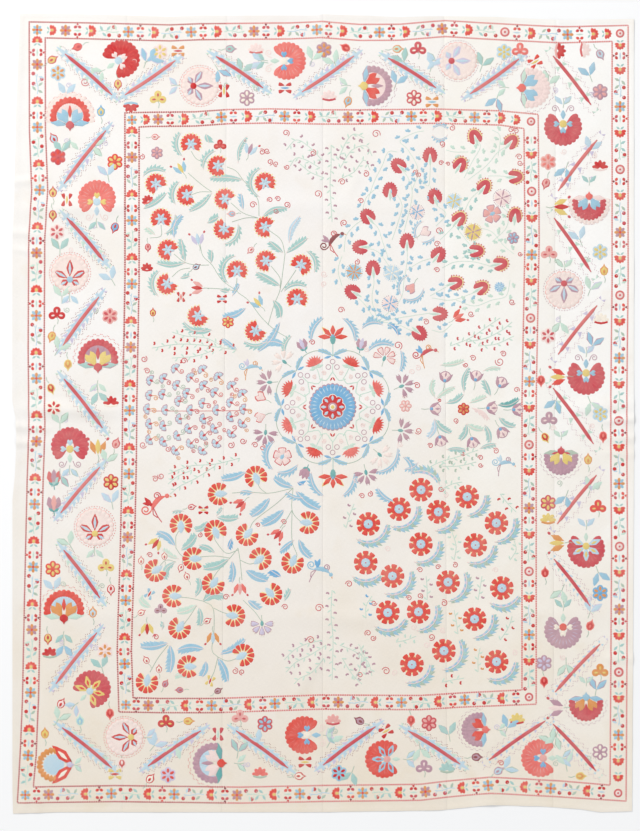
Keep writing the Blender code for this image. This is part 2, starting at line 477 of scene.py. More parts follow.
def finish_material(name, group, colours, vectors, bump, distance, sheen):
    """A material whose colour, roughness and bump come from a group. Vectors: socket, node kind,
    output and UV map."""
    material = bpy.data.materials.new(name)
    material.use_nodes = True
    tree = material.node_tree
    shader = tree.nodes["Principled BSDF"]
    node = put(tree, "ShaderNodeGroup", node_tree=group)
    fill(node, **colours)
    for socket, kind, output, uv_map in vectors:
        source = put(tree, kind)
        if uv_map:
            source.uv_map = uv_map
        tree.links.new(source.outputs[output], node.inputs[socket])
    tree.links.new(node.outputs["Color"], shader.inputs["Base Color"])
    tree.links.new(node.outputs["Roughness"], shader.inputs["Roughness"])
    relief = put(tree, "ShaderNodeBump")
    fill(relief, Strength=bump, Distance=distance)
    tree.links.new(node.outputs["Height"], relief.inputs["Height"])
    tree.links.new(relief.outputs["Normal"], shader.inputs["Normal"])
    fill(shader, Sheen_Weight=sheen, Sheen_Roughness=0.5, Specular_IOR_Level=0.3)
    return material


IN_PLACE = ("Place", "ShaderNodeTexCoord", "Object", None)
ALONG_THREADS = ("Threads", "ShaderNodeUVMap", "UV", "threads")


def cotton(number, group):
    """The cream of one strip. Each was woven and faded on its own."""
    colours = {"Cream": daylight(COTTON_TONES[number]), "Aged and shaded": daylight(AGED_AND_SHADED_COTTON)}
    return finish_material(f"cotton_{number + 1}", group, colours, (IN_PLACE,), 0.55, 0.0004, 0.15)


def silk(dye, group):
    colour = daylight(DYES[dye][1:])
    worn = daylight(WORN_SILK)
    faded = tuple(a + (b - a) * WORN_SHARE for a, b in zip(colour, worn, strict=True))
    colours = {"Dye": colour, "Faded": faded}
    return finish_material(f"silk_{dye}", group, colours, (ALONG_THREADS, IN_PLACE), 0.5, 0.0003, 0.25)


# The cotton strips


def make_strip(number, rows, group):
    """One strip: a fine sheet on its solid's folds, hemmed at the outline."""
    name = f"strip_{number + 1}"
    left, right = strip_sides(number, rows)
    width = float(np.mean(right - left))
    shares = column_shares(number, width)
    bpy.ops.object.select_all(action="DESELECT")
    bpy.ops.mesh.primitive_grid_add(
        x_subdivisions=len(shares) - 1, y_subdivisions=len(rows) - 1, size=1.0
    )
    sheet = bpy.context.active_object
    sheet.name = f"cloth_{number + 1}"
    mesh = sheet.data
    places = np.empty(len(mesh.vertices) * 3)
    mesh.vertices.foreach_get("co", places)
    places = places.reshape(-1, 3)
    column = np.rint((places[:, 0] + 0.5) * (len(shares) - 1)).astype(int)
    row = np.rint((places[:, 1] + 0.5) * (len(rows) - 1)).astype(int)
    x = left[row] + (right - left)[row] * shares[column]
    y = edged_y(x, rows[row])
    z = face(x, y) + hem(x, y) - seam_dip(x, y)
    mesh.vertices.foreach_set("co", np.column_stack((x, y, z)).ravel())
    mesh.update()
    wall = sheet.modifiers.new("thickness", "SOLIDIFY")
    wall.thickness = CLOTH_THICKNESS
    wall.offset = -1.0
    bpy.ops.object.modifier_apply(modifier=wall.name)
    heights = np.empty(len(mesh.vertices) * 3)
    mesh.vertices.foreach_get("co", heights)
    heights[2::3] = np.maximum(heights[2::3], 0.0)
    mesh.vertices.foreach_set("co", heights)
    mesh.materials.clear()
    mesh.materials.append(cotton(number, group))
    mesh.shade_smooth()
    mesh.set_sharp_from_angle(angle=math.radians(CLOTH_CREASE))
    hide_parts(name)
    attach(sheet, "root")
    return sheet, width


# Patches of stitching, each modelled once


def pick(test):
    """Selects the points of the shape in edit mode that pass a test on their place."""
    shape = bmesh.from_edit_mesh(bpy.context.edit_object.data)
    for item in (*shape.verts, *shape.edges, *shape.faces):
        item.select = False
    for point in shape.verts:
        point.select = bool(test(point.co))
    shape.select_flush_mode()
    bmesh.update_edit_mesh(bpy.context.edit_object.data)


def grow(across, along):
    bpy.ops.transform.resize(value=(across, along, 1.0), center_override=(0.0, 0.5, 0.0))


# Corners, shaping, whether it is centred, and how far the crown is drawn in. Shaping: the
# points between two distances from the root are widened, or shifted ahead if a shift is given.
Stamp = namedtuple("Stamp", "corners shaping centred crown")
STAMPS = {
    "petal": Stamp(10, ((-1, 0.3, 0.5, 0),), False, 0.74),
    "lance": Stamp(8, ((-1, 0.3, 0.62, 0), (0.7, 2, 0.62, 0)), False, 0.66),
    "wedge": Stamp(
        10, ((0.8, 0.97, 1.5, 0), (0.97, 2, 1, -0.05), (-1, 0.5, 0.66, 0), (-1, 0.3, 0.6, 0)), False, 0.80
    ),
    "heart": Stamp(12, ((0.97, 2, 1, -0.30), (-1, 0.3, 0.62, 0), (-1, 0.05, 1, -0.08)), False, 0.74),
    "drop": Stamp(10, ((0.7, 2, 0.45, 0), (0.97, 2, 1, 0.15)), False, 0.74),
    "tooth": Stamp(3, (), False, 0.60),
    "stitch": Stamp(4, (), True, 0.55),
    "knot": Stamp(6, (), True, 0.62),
    "disc": Stamp(14, (), True, 0.80),
    "round": Stamp(28, (), True, 0.95),
}
# Rings inset in the crown of a round, so that it follows folds
ROUND_RINGS = (0.16, 0.16, 0.08)
# Stamps modelled so far
modelled = {}

# A long stamp is cut across at this pitch, in units, this often at most
CUT_PITCH = 4.2
MOST_CUTS = 4

# Steps of the slight extra heights, and the highest, in metres
NUDGE_STRIDE = 23
NUDGE_STEPS = 61
NUDGE = 0.00016
laid_so_far = [0]


def model_stamp(kind, cuts):
    """Models a low padded patch of unit size, as points, faces' corners and faces' sizes."""
    stamp = STAMPS[kind]
    bpy.ops.object.select_all(action="DESELECT")
    bpy.ops.mesh.primitive_cylinder_add(
        vertices=stamp.corners, radius=0.5, depth=1.0, end_fill_type="NGON", location=(0.0, 0.5, 0.0)
    )
    bpy.ops.object.transform_apply(location=True, rotation=True, scale=True)
    shape = bpy.context.active_object
    bpy.ops.object.mode_set(mode="EDIT")
    bpy.ops.mesh.select_mode(type="VERT")
    for low, high, wider, ahead in stamp.shaping:
        pick(lambda co: low < co.y < high)
        if ahead:
            bpy.ops.transform.translate(value=(0.0, ahead, 0.0))
        else:
            grow(wider, 1.0)
    pick(lambda co: co.z > 0.0)
    grow(stamp.crown, stamp.crown)
    if kind == "round":
        for ring in ROUND_RINGS:
            bpy.ops.mesh.inset(thickness=ring, depth=0.0)
    for cut in range(1, cuts + 1):
        bpy.ops.mesh.select_all(action="SELECT")
        bpy.ops.mesh.bisect(plane_co=(0.0, cut / (cuts + 1.0), 0.0), plane_no=(0.0, 1.0, 0.0))
    bpy.ops.object.mode_set(mode="OBJECT")
    mesh = shape.data
    points = np.empty(len(mesh.vertices) * 3)
    mesh.vertices.foreach_get("co", points)
    points = points.reshape(-1, 3)
    points[:, 2] = np.where(points[:, 2] > 0.0, PATCH_CROWN, -PATCH_ROOT)
    if stamp.centred:
        points[:, 1] -= 0.5
    corners = np.empty(len(mesh.loops), int)
    mesh.loops.foreach_get("vertex_index", corners)
    sizes = np.array([len(polygon.vertices) for polygon in mesh.polygons])
    bpy.data.objects.remove(shape, do_unlink=True)
    return points, corners, sizes


def stamp_of(kind, length):
    """The stamp for a patch this long, with a cut every few units so that it follows folds."""
    cuts = 0 if STAMPS[kind].centred else min(MOST_CUTS, int(length / CUT_PITCH))
    key = (kind, cuts)
    if key not in modelled:
        modelled[key] = model_stamp(kind, cuts)
    return modelled[key]


def nudge():
    """A slight extra height for each patch, so that no two that overlap lie level."""
    laid_so_far[0] += NUDGE_STRIDE
    return (laid_so_far[0] % NUDGE_STEPS) / NUDGE_STEPS * NUDGE


class Skein:
    """All the stitches in one dye, gathered as arrays and made into one piece at the end."""

    def __init__(self):
        self.parts = []
        self.count = 0

    def add(self, places, threads, corners, sizes):
        self.parts.append((places, threads, corners + self.count, sizes))
        self.count += len(places)

    def piece(self, name):
        """Lays the gathered stitches on the cloth's face as one mesh."""
        places, threads, corners, sizes = (np.concatenate(part) for part in zip(*self.parts, strict=True))
        x = (places[:, 0] - MIDDLE_X) * UNIT
        y = (MIDDLE_Y - places[:, 1]) * UNIT
        z = face(x, y) + places[:, 2]
        mesh = bpy.data.meshes.new(name)
        mesh.vertices.add(len(places))
        mesh.vertices.foreach_set("co", np.column_stack((x, y, z)).ravel())
        mesh.loops.add(len(corners))
        mesh.loops.foreach_set("vertex_index", corners.astype(np.int32))
        mesh.polygons.add(len(sizes))
        starts = np.concatenate(([0], np.cumsum(sizes)[:-1]))
        mesh.polygons.foreach_set("loop_start", starts.astype(np.int32))
        mesh.update(calc_edges=True)
        layer = mesh.uv_layers.new(name="threads")
        layer.data.foreach_set("uv", threads[corners].ravel())
        mesh.validate()
        piece = bpy.data.objects.new(name, mesh)
        bpy.context.scene.collection.objects.link(piece)
        return piece


skeins = {dye: Skein() for dye in DYES}


class Spot:
    """A place on the drawing with a heading and a size, in which a motif is drawn."""

    def __init__(self, x, y, turn=0.0, size=1.0):
        self.x = x
        self.y = y
        self.turn = turn
        self.size = size
        self.sine = math.sin(math.radians(turn))
        self.cosine = math.cos(math.radians(turn))

    def at(self, side, ahead):
        """Drawing place of a point given to the right of the heading and ahead along it."""
        side = np.asarray(side) * self.size
        ahead = np.asarray(ahead) * self.size
        x = self.x + side * self.cosine + ahead * self.sine
        y = self.y + side * self.sine - ahead * self.cosine
        return x, y

    def line(self, points):
        """Drawing places of points given to the right of the heading and ahead along it."""
        return np.column_stack(self.at(points[:, 0], points[:, 1]))

    def inner(self, side, ahead, turn=0.0, size=1.0):
        x, y = self.at(side, ahead)
        return Spot(float(x), float(y), self.turn + turn, self.size * size)


def patch(dye, kind, spot, width, length, side=0.0, ahead=0.0, turn=0.0, level=0):
    """Stitches one patch of a dye, its root at a place in the spot."""
    root = spot.inner(side, ahead, turn)
    points, corners, sizes = stamp_of(kind, length * spot.size)
    x, y = root.at(points[:, 0] * width, points[:, 1] * length)
    lift = points[:, 2] + level * LAYER + nudge()
    threads = np.column_stack((points[:, 0] * width, points[:, 1] * length)) * spot.size * UNIT
    threads += (root.x * UNIT, root.y * UNIT)
    skeins[dye].add(np.column_stack((x, y, lift)), threads, corners, sizes)


def radial(dye, kind, spot, angle, radius, width, length, level=0):
    """A patch that points away from a spot, its root at a radius."""
    patch(dye, kind, spot.inner(0.0, 0.0, angle), width, length, 0.0, radius, 0.0, level)


def ring_of(dye, kind, spot, count, width, length, radius, level=0, start=0.0, sweep=360.0):
    """The same patch repeated round a spot, each pointing outwards."""
    for step in range(count):
        share = (step + 0.5) / count if sweep < 360.0 else step / count
        radial(dye, kind, spot, start + sweep * share, radius, width, length, level)


def run_along(line):
    """How far along a line each of its points is."""
    return np.concatenate(([0.0], np.cumsum(np.hypot(*np.diff(line, axis=0).T))))


def smooth(points, step=3.0):
    """A smooth curve through a few points, with a point every few units."""
    points = np.array(points, float)
    if len(points) < 3:
        count = max(2, int(np.hypot(*(points[1] - points[0])) / step) + 1)
        share = np.linspace(0.0, 1.0, count)[:, None]
        return points[0] + (points[1] - points[0]) * share
    padded = np.vstack((2 * points[0] - points[1], points, 2 * points[-1] - points[-2]))
    run = [points[:1]]
    for number in range(1, len(padded) - 2):
        before, first, second, after = padded[number - 1 : number + 3]
        count = max(1, round(float(np.hypot(*(second - first))) / step))
        share = (np.arange(1, count + 1) / count)[:, None]
        run.append(
            0.5
            * (
                2 * first
                + (second - before) * share
                + (2 * before - 5 * first + 4 * second - after) * share**2
                + (3 * first - before - 3 * second + after) * share**3
            )
        )
    return np.vstack(run)


# A thread's section from side to side: how far out, and whether it is on top
SECTION = ((-1.0, False), (-0.55, True), (0.55, True), (1.0, False))
CORNERS = len(SECTION)
END_FACES = [0, 1, 2, 3, -1, -2, -3, -4]


def thread(dye, points, width, spot=None, level=0, shape="even", height=PATCH_CROWN):
    """Stitches a raised line along points, of even width, or a spindle, or a bar."""
    points = np.array(points, float)
    if spot is not None:
        points = spot.line(points)
        width = width * spot.size
    count = len(points)
    ahead = np.gradient(points, axis=0)
    ahead /= np.maximum(np.hypot(ahead[:, 0], ahead[:, 1]), 1e-9)[:, None]
    across = np.column_stack((-ahead[:, 1], ahead[:, 0]))
    run = run_along(points)
    share = run / max(run[-1], 1e-9)
    half = np.full(count, width / 2.0)
    if shape == "spindle":
        half *= np.maximum(np.sin(math.pi * share) ** 0.6, 0.06)
    if shape == "bar":
        half *= np.clip(np.minimum(share, 1.0 - share) * 9.0, 0.3, 1.0)
    low = level * LAYER - PATCH_ROOT
    high = level * LAYER + height + nudge()
    rows = [
        np.column_stack((points + across * half[:, None] * out, np.full(count, high if top else low)))
        for out, top in SECTION
    ]
    places = np.stack(rows, axis=1).reshape(-1, 3)
    start = np.arange(count - 1)[:, None] * CORNERS
    corner = np.arange(CORNERS)[None, :]
    beside = (corner + 1) % CORNERS
    after = start + CORNERS
    quads = np.stack((start + corner, after + corner, after + beside, start + beside), axis=2)
    corners = np.concatenate((quads.reshape(-1), np.array(END_FACES) % len(places)))
    sizes = np.full(CORNERS * (count - 1) + 2, CORNERS)
    outs = np.array([out for out, top in SECTION])
    sideways = (outs[None, :] * half[:, None]).reshape(-1) * UNIT
    skeins[dye].add(places, np.column_stack((sideways, np.repeat(run, CORNERS) * UNIT)), corners, sizes)


def stem(dye, points, width, spot=None, level=0, shape="even"):
    thread(dye, smooth(points), width, spot, level, shape)


CURL_ANGLES = np.linspace(0.0, 1.35 * 2.0 * math.pi, 17)
CURL_INWARD = 0.72


def curl(dye, spot, radius, width, hand=1.0, tail=0.0):
    """A line that runs ahead for its tail and then winds in on itself, to the right or left."""
    shrink = radius * (1.0 - CURL_INWARD * CURL_ANGLES / CURL_ANGLES[-1])
    side = hand * (radius - shrink * np.cos(CURL_ANGLES))
    points = np.column_stack((side, tail + shrink * np.sin(CURL_ANGLES)))
    if tail > 0.0:
        points = np.vstack(((0.0, 0.0), points))
    thread(dye, points, width, spot)


def dots(dye, points, pitch, size, spot, kind="knot"):
    """Knots spaced evenly along a line of points."""
    points = spot.line(np.array(points, float))
    run = run_along(points)
    count = max(1, int(run[-1] / (pitch * spot.size)))
    places = (np.arange(count) + 0.5) * run[-1] / count
    across = np.interp(places, run, points[:, 0])
    down = np.interp(places, run, points[:, 1])
    for place in zip(across, down, strict=True):
        patch(dye, kind, Spot(*place), size * spot.size, size * spot.size)


def arc(radius, start, end, step=2.5, side=0.0, ahead=0.0):
    """Points on an arc round a spot, from one bearing to another."""
    count = max(3, int(abs(math.radians(end - start)) * radius / step) + 1)
    angles = np.radians(np.linspace(start, end, count))
    return np.column_stack((side + radius * np.sin(angles), ahead + radius * np.cos(angles)))


# Narrow borders: the middle of each side from corner to corner, travelling down the left
# side first, how far the rope lines stand from it, how many repeats go round, and how far
# from the first corner they start.
Border = namedtuple("Border", "left bottom right top half_width repeats start")
OUTER_BORDER = Border(
    ((37.3, 30), (37.5, 130), (39.8, 190), (36.8, 240), (36.2, 350), (37, 430), (35.2, 480),
     (32.5, 600), (30.5, 700), (28.2, 755), (25.4, 794.8)),
    ((25.4, 794.8), (115, 793.5), (240, 795), (325, 793.3), (420, 792.2), (445, 789.2),
     (490, 785), (560, 788.8), (618, 793)),
    ((618, 793), (619.5, 550), (618.5, 420), (620, 280), (620, 33.5)),
    ((620, 33.5), (560, 35), (480, 30.8), (445, 28.6), (400, 32.3), (360, 32.5), (322, 29.7),
     (290, 31), (200, 31.8), (170, 33), (90, 31), (37.3, 30)),
    8.0, 43, 9.5,
)
INNER_BORDER = Border(
    ((132, 120), (132, 280), (129.8, 400), (129.3, 460), (127.5, 545), (124.3, 650), (126, 704.7)),
    ((126, 704.7), (160, 705.5), (215, 705.5), (320, 702), (420, 702.5), (460, 700), (529, 697)),
    ((529, 697), (529, 400), (532, 240), (531, 121.5)),
    ((531, 121.5), (500, 118), (440, 116.3), (360, 117), (320, 117), (270, 116), (228, 116.7),
     (195, 119), (150, 119.4), (132, 120)),
    7.1, 31, 12.0,
)
# Rope lines: how close their points lie, the pitch of their stitches, and the x at which
# the dyes change
ROPE_STEP = 1.5
ROPE_PITCH = 2.3
ROPE_CHANGE = 226.0


def offset_line(border, distance):
    """A closed line beside the border's middle: outwards if distance is above zero."""
    shifts = np.array(((-1, 0), (0, 1), (1, 0), (0, -1)), float) * distance
    line = []
    for number, side in enumerate(border[:4]):
        points = np.array(side, float) + shifts[number]
        points[0] += shifts[number - 1]
        points[-1] += shifts[(number + 1) % 4]
        line.extend(points[:-1])
    line.append(line[0])
    return np.array(line)


def spots_along(line, places):
    """Spots at given distances along a line, each heading along it."""
    run = run_along(line)
    x = np.interp(places, run, line[:, 0])
    y = np.interp(places, run, line[:, 1])
    number = np.clip(np.searchsorted(run, places, side="right") - 1, 0, len(run) - 2)
    ahead = np.diff(line, axis=0)[number]
    bearings = np.degrees(np.arctan2(ahead[:, 0], -ahead[:, 1]))
    return [Spot(float(a), float(b), float(c)) for a, b, c in zip(x, y, bearings, strict=True)]


def even_spots(line, pitch):
    run = run_along(line)
    count = max(2, round(run[-1] / pitch))
    return spots_along(line, np.arange(count) * run[-1] / count)


def rope_line(border, distance):
    """A chain-stitched guard line: maroon and pink at the left, rose and pink at the right."""
    line = offset_line(border, distance)
    whole = run_along(line)[-1]
    places = np.linspace(0.0, whole, int(whole / ROPE_STEP))
    points = np.array([(spot.x, spot.y) for spot in spots_along(line, places)])
    thread("rose", points, 1.9, height=PATCH_RIM)
    for spot in even_spots(line, ROPE_PITCH):
        if spot.x < ROPE_CHANGE:
            patch("maroon", "stitch", spot, 2.0, 1.2, level=1)
            patch("pale_pink", "stitch", spot, 1.8, 1.0, 0.0, ROPE_PITCH / 2.0, level=1)
        else:
            patch("pale_pink", "stitch", spot, 1.7, 1.3, level=1)


# Discs take the place of half the eight petals to the right of this x
DISCS_FROM = 500.0


def half_carnation(spot, _number):
    """Red petals that open across the border, the same in every repeat."""
    crown = spot.inner(0.0, 0.0, 180.0)
    ring_of("scarlet", "petal", crown, 7, 3.1, 5.4, 0.3, 0, -112.0, 224.0)
    patch("coral", "disc", crown, 4.8, 4.2, 0.0, 1.0, level=1)
    patch("yellow", "petal", crown, 3.0, 3.8, 0.0, -1.4, level=2)
    for turn in (125.0, -125.0):
        patch("teal", "lance", crown, 2.2, 4.6, 0.0, -2.0, turn)


def sprig_pair(spot, number):
    for side in (-1.0, 1.0):
        dye = ("scarlet", "crimson", "deep_red")[(number + int(side)) % 3]
        sprig = spot.inner(side * 4.3, 0.0, -90.0 * side)
        for turn in (-62.0, 62.0):
            patch(dye, "petal", sprig, 2.9, 3.9, 0.0, 0.0, turn)
        patch("maroon" if number % 2 else dye, "petal", sprig, 2.2, 2.4, 0.0, -0.2, 180.0)
    patch("pale_blue" if number % 2 else "pale_green", "lance", spot, 1.8, 8.0, 0.0, -4.0)


def eight_petals(spot, number):
    if spot.x > DISCS_FROM and number % 2:
        patch("rose", "disc", spot, 9.4, 9.4)
        patch("pale_pink", "disc", spot, 6.0, 6.0, level=1)
        patch("crimson", "knot", spot, 2.6, 2.6, level=2)
        return
    second = "sky" if number % 3 else "mauve"
    ring_of(second, "petal", spot, 4, 3.2, 5.4, 0.3, 0, 45.0)
    ring_of("orange", "petal", spot, 4, 3.2, 5.2, 0.3)
    patch("scarlet", "knot", spot, 3.0, 3.0, level=1)


def leafy_stem(spot, number):
    """Three red buds beside a pale stem that ends in leaves."""
    hand = 1.0 if number % 2 else -1.0
    pale = "pale_green" if number % 2 else "pale_blue"
    dark = "teal" if number % 2 else "sage"
    stem(pale, ((0.0, -5.0), (-0.8 * hand, 1.0), (0.7 * hand, 7.0), (0.0, 13.0)), 1.0, spot)
    for side, ahead in ((-3.6, -5.5), (3.9, -0.5), (-3.4, 3.5)):
        bud = spot.inner(side * hand, ahead)
        patch("deep_red" if number % 3 else "crimson", "disc", bud, 3.7, 3.7)
        stem(pale, ((0.0, 0.0), (-side * hand * 0.8, 2.5)), 0.7, bud)
    for side, ahead, turn in ((0.5, 6.0, 130.0), (-1.0, 10.0, -140.0), (0.8, -3.0, 70.0), (0.0, 9.0, 60.0)):
        patch(dark if ahead > 0 else pale, "lance", spot, 2.8, 6.0, side * hand, ahead, turn * hand)


# Repeat of a narrow border: four motifs, how far along a repeat of REPEAT units each lies,
# and how much room each needs from a corner
BORDER_REPEAT = (
    (half_carnation, 0.0, 11.0),
    (sprig_pair, 13.3, 8.0),
    (eight_petals, 25.5, 11.0),
    (leafy_stem, 41.0, 14.0),
)
REPEAT = 64.0
BORDER_MOTIF_SIZE = 1.12
# How far a leafy stem reaches along the border, and the gap that a half carnation fills
STEM_REACH = 8.0
CORNER_GAP = 21.0


def narrow_border(border):
    rope_line(border, border.half_width)
    rope_line(border, -border.half_width)
    middle = offset_line(border, 0.0)
    run = run_along(middle)
    whole = run[-1]
    corners = [run[sum(len(side) - 1 for side in border[: number + 1])] for number in range(4)]
    for corner in corners:
        eight_petals(spots_along(middle, [corner])[0], 1)
    pitch = whole / border.repeats
    taken = []
    for number in range(border.repeats):
        for motif, ahead, needed in BORDER_REPEAT:
            place = (border.start + number * pitch + ahead * pitch / REPEAT) % whole
            if min(abs(place - corner) for corner in corners + [0.0, whole]) > needed:
                spot = spots_along(middle, [place])[0]
                motif(spot.inner(0.0, 0.0, 0.0, BORDER_MOTIF_SIZE), number)
                reach = STEM_REACH if motif is leafy_stem else 0.0
                taken.extend((place - reach, place + reach))
    for corner in corners:
        for side in (-1.0, 1.0):
            gap = min(side * (place - corner) % whole for place in taken)
            if gap > CORNER_GAP:
                half_carnation(spots_along(middle, [(corner + side * gap / 2.0) % whole])[0], 0)


# Saw-edged leaves of the main border: midrib start x and y, end x and y. Those to the right
# of FAINT_FROM are mostly outline, and have finer teeth below FINE_BELOW. Below
# CRIMSON_BELOW every midrib is crimson.
FAINT_FROM = 540.0
FINE_BELOW = 540.0
CRIMSON_BELOW = 700.0
RIBS = (
    (65, 54, 112, 95), (125, 95, 175.5, 60.6), (216, 56.5, 263, 88), (302, 92, 354, 56), (388, 58, 436, 88),
    (470, 94, 519, 59), (553, 56, 591, 105), (597, 140, 558, 191), (554, 218, 591, 272),
    (597, 305.5, 558, 354.5), (553, 388, 593.5, 444), (596.5, 475, 557, 524), (554, 559, 590, 606),
    (600, 644, 555, 692), (553, 724, 596, 771), (545, 721, 489, 760), (408, 730.6, 460, 764),
    (375.5, 726.5, 323, 765), (236, 730.6, 288, 768), (201, 730.6, 148, 766), (62, 727.5, 112, 768),
    (106, 130.6, 64, 183.7), (67, 218, 103.5, 260.6), (99, 297, 63, 345.7), (64, 379, 102.6, 428),
    (100, 467, 60.6, 513), (63.7, 550, 100, 598), (97, 632.6, 56, 683.7),
)


LEAF_TIP = 11.0
LEAF_TEETH = 13


def border_leaf(row, number):
    """A red midrib in a pale saw-edged leaf, with a dotted saw-tooth outline."""
    start_x, start_y, end_x, end_y = row
    length = math.hypot(end_x - start_x, end_y - start_y)
    spot = Spot(start_x, start_y, math.degrees(math.atan2(end_x - start_x, start_y - end_y)))
    bend = 0.8 if number % 2 else -0.8
    faint = start_x > FAINT_FROM
    fine = 0.62 if faint and start_y > FINE_BELOW else 1.0
    if not faint:
        ends = ((0.0, -LEAF_TIP), (bend, length / 2.0), (0.0, length + LEAF_TIP))
        thread("pale_blue", smooth(ends), 10.0, spot, 0, "spindle", PATCH_RIM)
    for side in (-1.0, 1.0):
        outline = []
        for step in range(LEAF_TEETH):
            share = (step + 0.5) / LEAF_TEETH
            reach = 9.5 * math.sin(math.pi * share) ** 0.5
            ahead = -LEAF_TIP + (length + 2.0 * LEAF_TIP) * share
            if not faint or fine < 1.0 or step % 3 == 0:
                dye = "pale_blue" if step % 3 else "lilac" if number % 2 else "pale_green"
                patch(dye, "tooth", spot, 6.4 * fine, reach * fine, side, ahead - 1.5, 44.0 * side)
            outline.append((side * (reach * 0.5 + 1.2), ahead - 1.0))
            outline.append((side * (reach * 0.8 + 2.0), ahead + 3.2))
        dots("mauve" if faint else "maroon", outline, 2.1, 1.15, spot, "stitch")
    dye = "crimson" if start_y > CRIMSON_BELOW or number % 2 == 0 else "rose"
    rib = smooth(((0.0, 0.0), (bend, length / 2.0), (0.0, length)))
    thread(dye, rib, 3.5, spot, 2, "bar")


def saw_leaf(dye, points, width, spot, out, vein="pale_pink", bite=1.0):
    """A leaf along a line, smooth on one side and saw-toothed on the other."""
    points = spot.line(smooth(points))
    width = width * spot.size
    thread(dye, points, width, shape="spindle", height=PATCH_RIM)
    spots = even_spots(points, 2.4 + width * 0.18)
    for number, tooth in enumerate(spots[1:], 1):
        swell = math.sin(math.pi * number / len(spots)) ** 0.6
        reach = (width * 0.8 + 2.4) * swell * bite
        radial(dye, "tooth", tooth, 48.0 * out, 0.0, 2.4 + width * 0.4, reach)
    if vein:
        thread(vein, points, 0.8, level=1, height=PATCH_RIM)


def plain_leaf(dye, spot, length, width, rim):
    """A pointed leaf from its root, with a rim in another dye."""
    patch(rim, "lance", spot, width, length)
    patch(dye, "lance", spot, width * 0.83, length * 0.9, 0.0, length * 0.05, level=1)


def stitched_curl(dye, x, y, radius, turn, hand=1.0):
    """A curl round a place on the drawing."""
    curl(dye, Spot(x, y, turn).inner(-hand * radius, 0.0), radius, 1.0, hand)


# Big flowers of the main border


def scallops(dye, spot, count, inside, outside, start, sweep, level=0, plump=1.08):
    """Wedges side by side from one radius to another, each with a round end."""
    pitch = math.radians(sweep / count) * outside
    across = pitch * plump
    length = outside - inside - across * 0.2
    ring_of(dye, "wedge", spot, count, across * 1.34, length, inside, level, start, sweep)
    ring_of(dye, "disc", spot, count, across, across, outside - across * 0.5, level, start, sweep)


# To the left of these, star discs and palmettes have rose outlines, the others mauve ones
ROSE_DISCS_TO = 400.0
ROSE_HALOS_TO = 300.0

# Lighter silk stitched between the wedges of a fan, as painted sheen of the laid silk
SHEEN_STREAKS = {"deep_red": "scarlet", "scarlet": "coral", "coral": "pink", "crimson": "rose", "mauve": "lilac"}


def big_fan(dye, spot):
    """A scalloped fan of laid silk, open at its heading, with streaks of painted sheen between its wedges.
    """
    scallops(dye, spot, 18, 3.0, 19.4, 42.0, 276.0)
    # Painted sheen: thin stitches of lighter silk between the wedges
    ring_of(SHEEN_STREAKS[dye], "stitch", spot, 18, 0.8, 9.0, 12.5, 1, 49.7, 276.0)


def fan_flower(spot, dyes):
    """A fan with hearts round its middle, a bud in the gap, and tendrils where it has them."""
    petal, core, heart, bud_dye, *tendril_dye = dyes
    big_fan(petal, spot)
    spot = spot.inner(0.0, 3.0)
    patch(core, "disc", spot, 7.6, 7.6, level=2)
    for turn in (-90.0, 90.0, 180.0):
        radial(heart, "heart", spot, turn, 3.4, 6.2, 6.8, 2)
    radial(bud_dye, "lance", spot, 0.0, 4.5, 5.4, 9.5, 1)
    for dye in tendril_dye:
        for hand in (-1.0, 1.0):
            curl(dye, spot.inner(hand * 3.0, 12.0, hand * 24.0), 3.4, 0.9, hand=hand, tail=5.0)


def star_fan(spot, dyes):
    """A fan with a star of five cored petals in it."""
    petal, middle, star, core = dyes
    big_fan(petal, spot)
    spot = spot.inner(0.0, 3.0)
    for turn in (66.0, 122.0, 180.0, 238.0, 294.0):
        radial(star, "lance", spot, turn, 2.0, 7.4, 15.0, 1)
        radial(core, "lance", spot, turn, 4.5, 3.2, 8.0, 2)
    patch(middle, "disc", spot, 7.0, 7.0, level=2)
    radial("pale_green", "lance", spot, 0.0, 4.5, 4.4, 9.0, 1)


def star_disc(spot, dyes):
    """A pale scalloped disc with a five-petalled star drawn to its open side."""
    disc, petal, inside, core = dyes
    patch("blush", "round", spot, 37.0, 37.0)
    ring_of("pink", "disc", spot, 22, 5.6, 5.6, 16.7)
    ring_of("blush", "disc", spot, 22, 5.2, 5.2, 16.3, 1)
    ring_of(disc, "stitch", spot, 44, 0.8, 7.0, 14.0, 1)
    dots("rose" if spot.x < ROSE_DISCS_TO else "mauve", arc(20.6, 0.0, 357.0), 2.6, 1.3, spot)
    centre = spot.inner(0.0, 6.5)
    for turn, length in ((180.0, 22.0), (119.0, 20.5), (241.0, 20.5), (60.0, 11.5), (-60.0, 11.5)):
        radial(petal, "lance", centre, turn, 0.5, 8.6, length, 1)
        radial(inside, "lance", centre, turn, 3.4, 3.4, length * 0.68, 2)
    patch(core, "disc", centre, 6.4, 6.4, level=3)


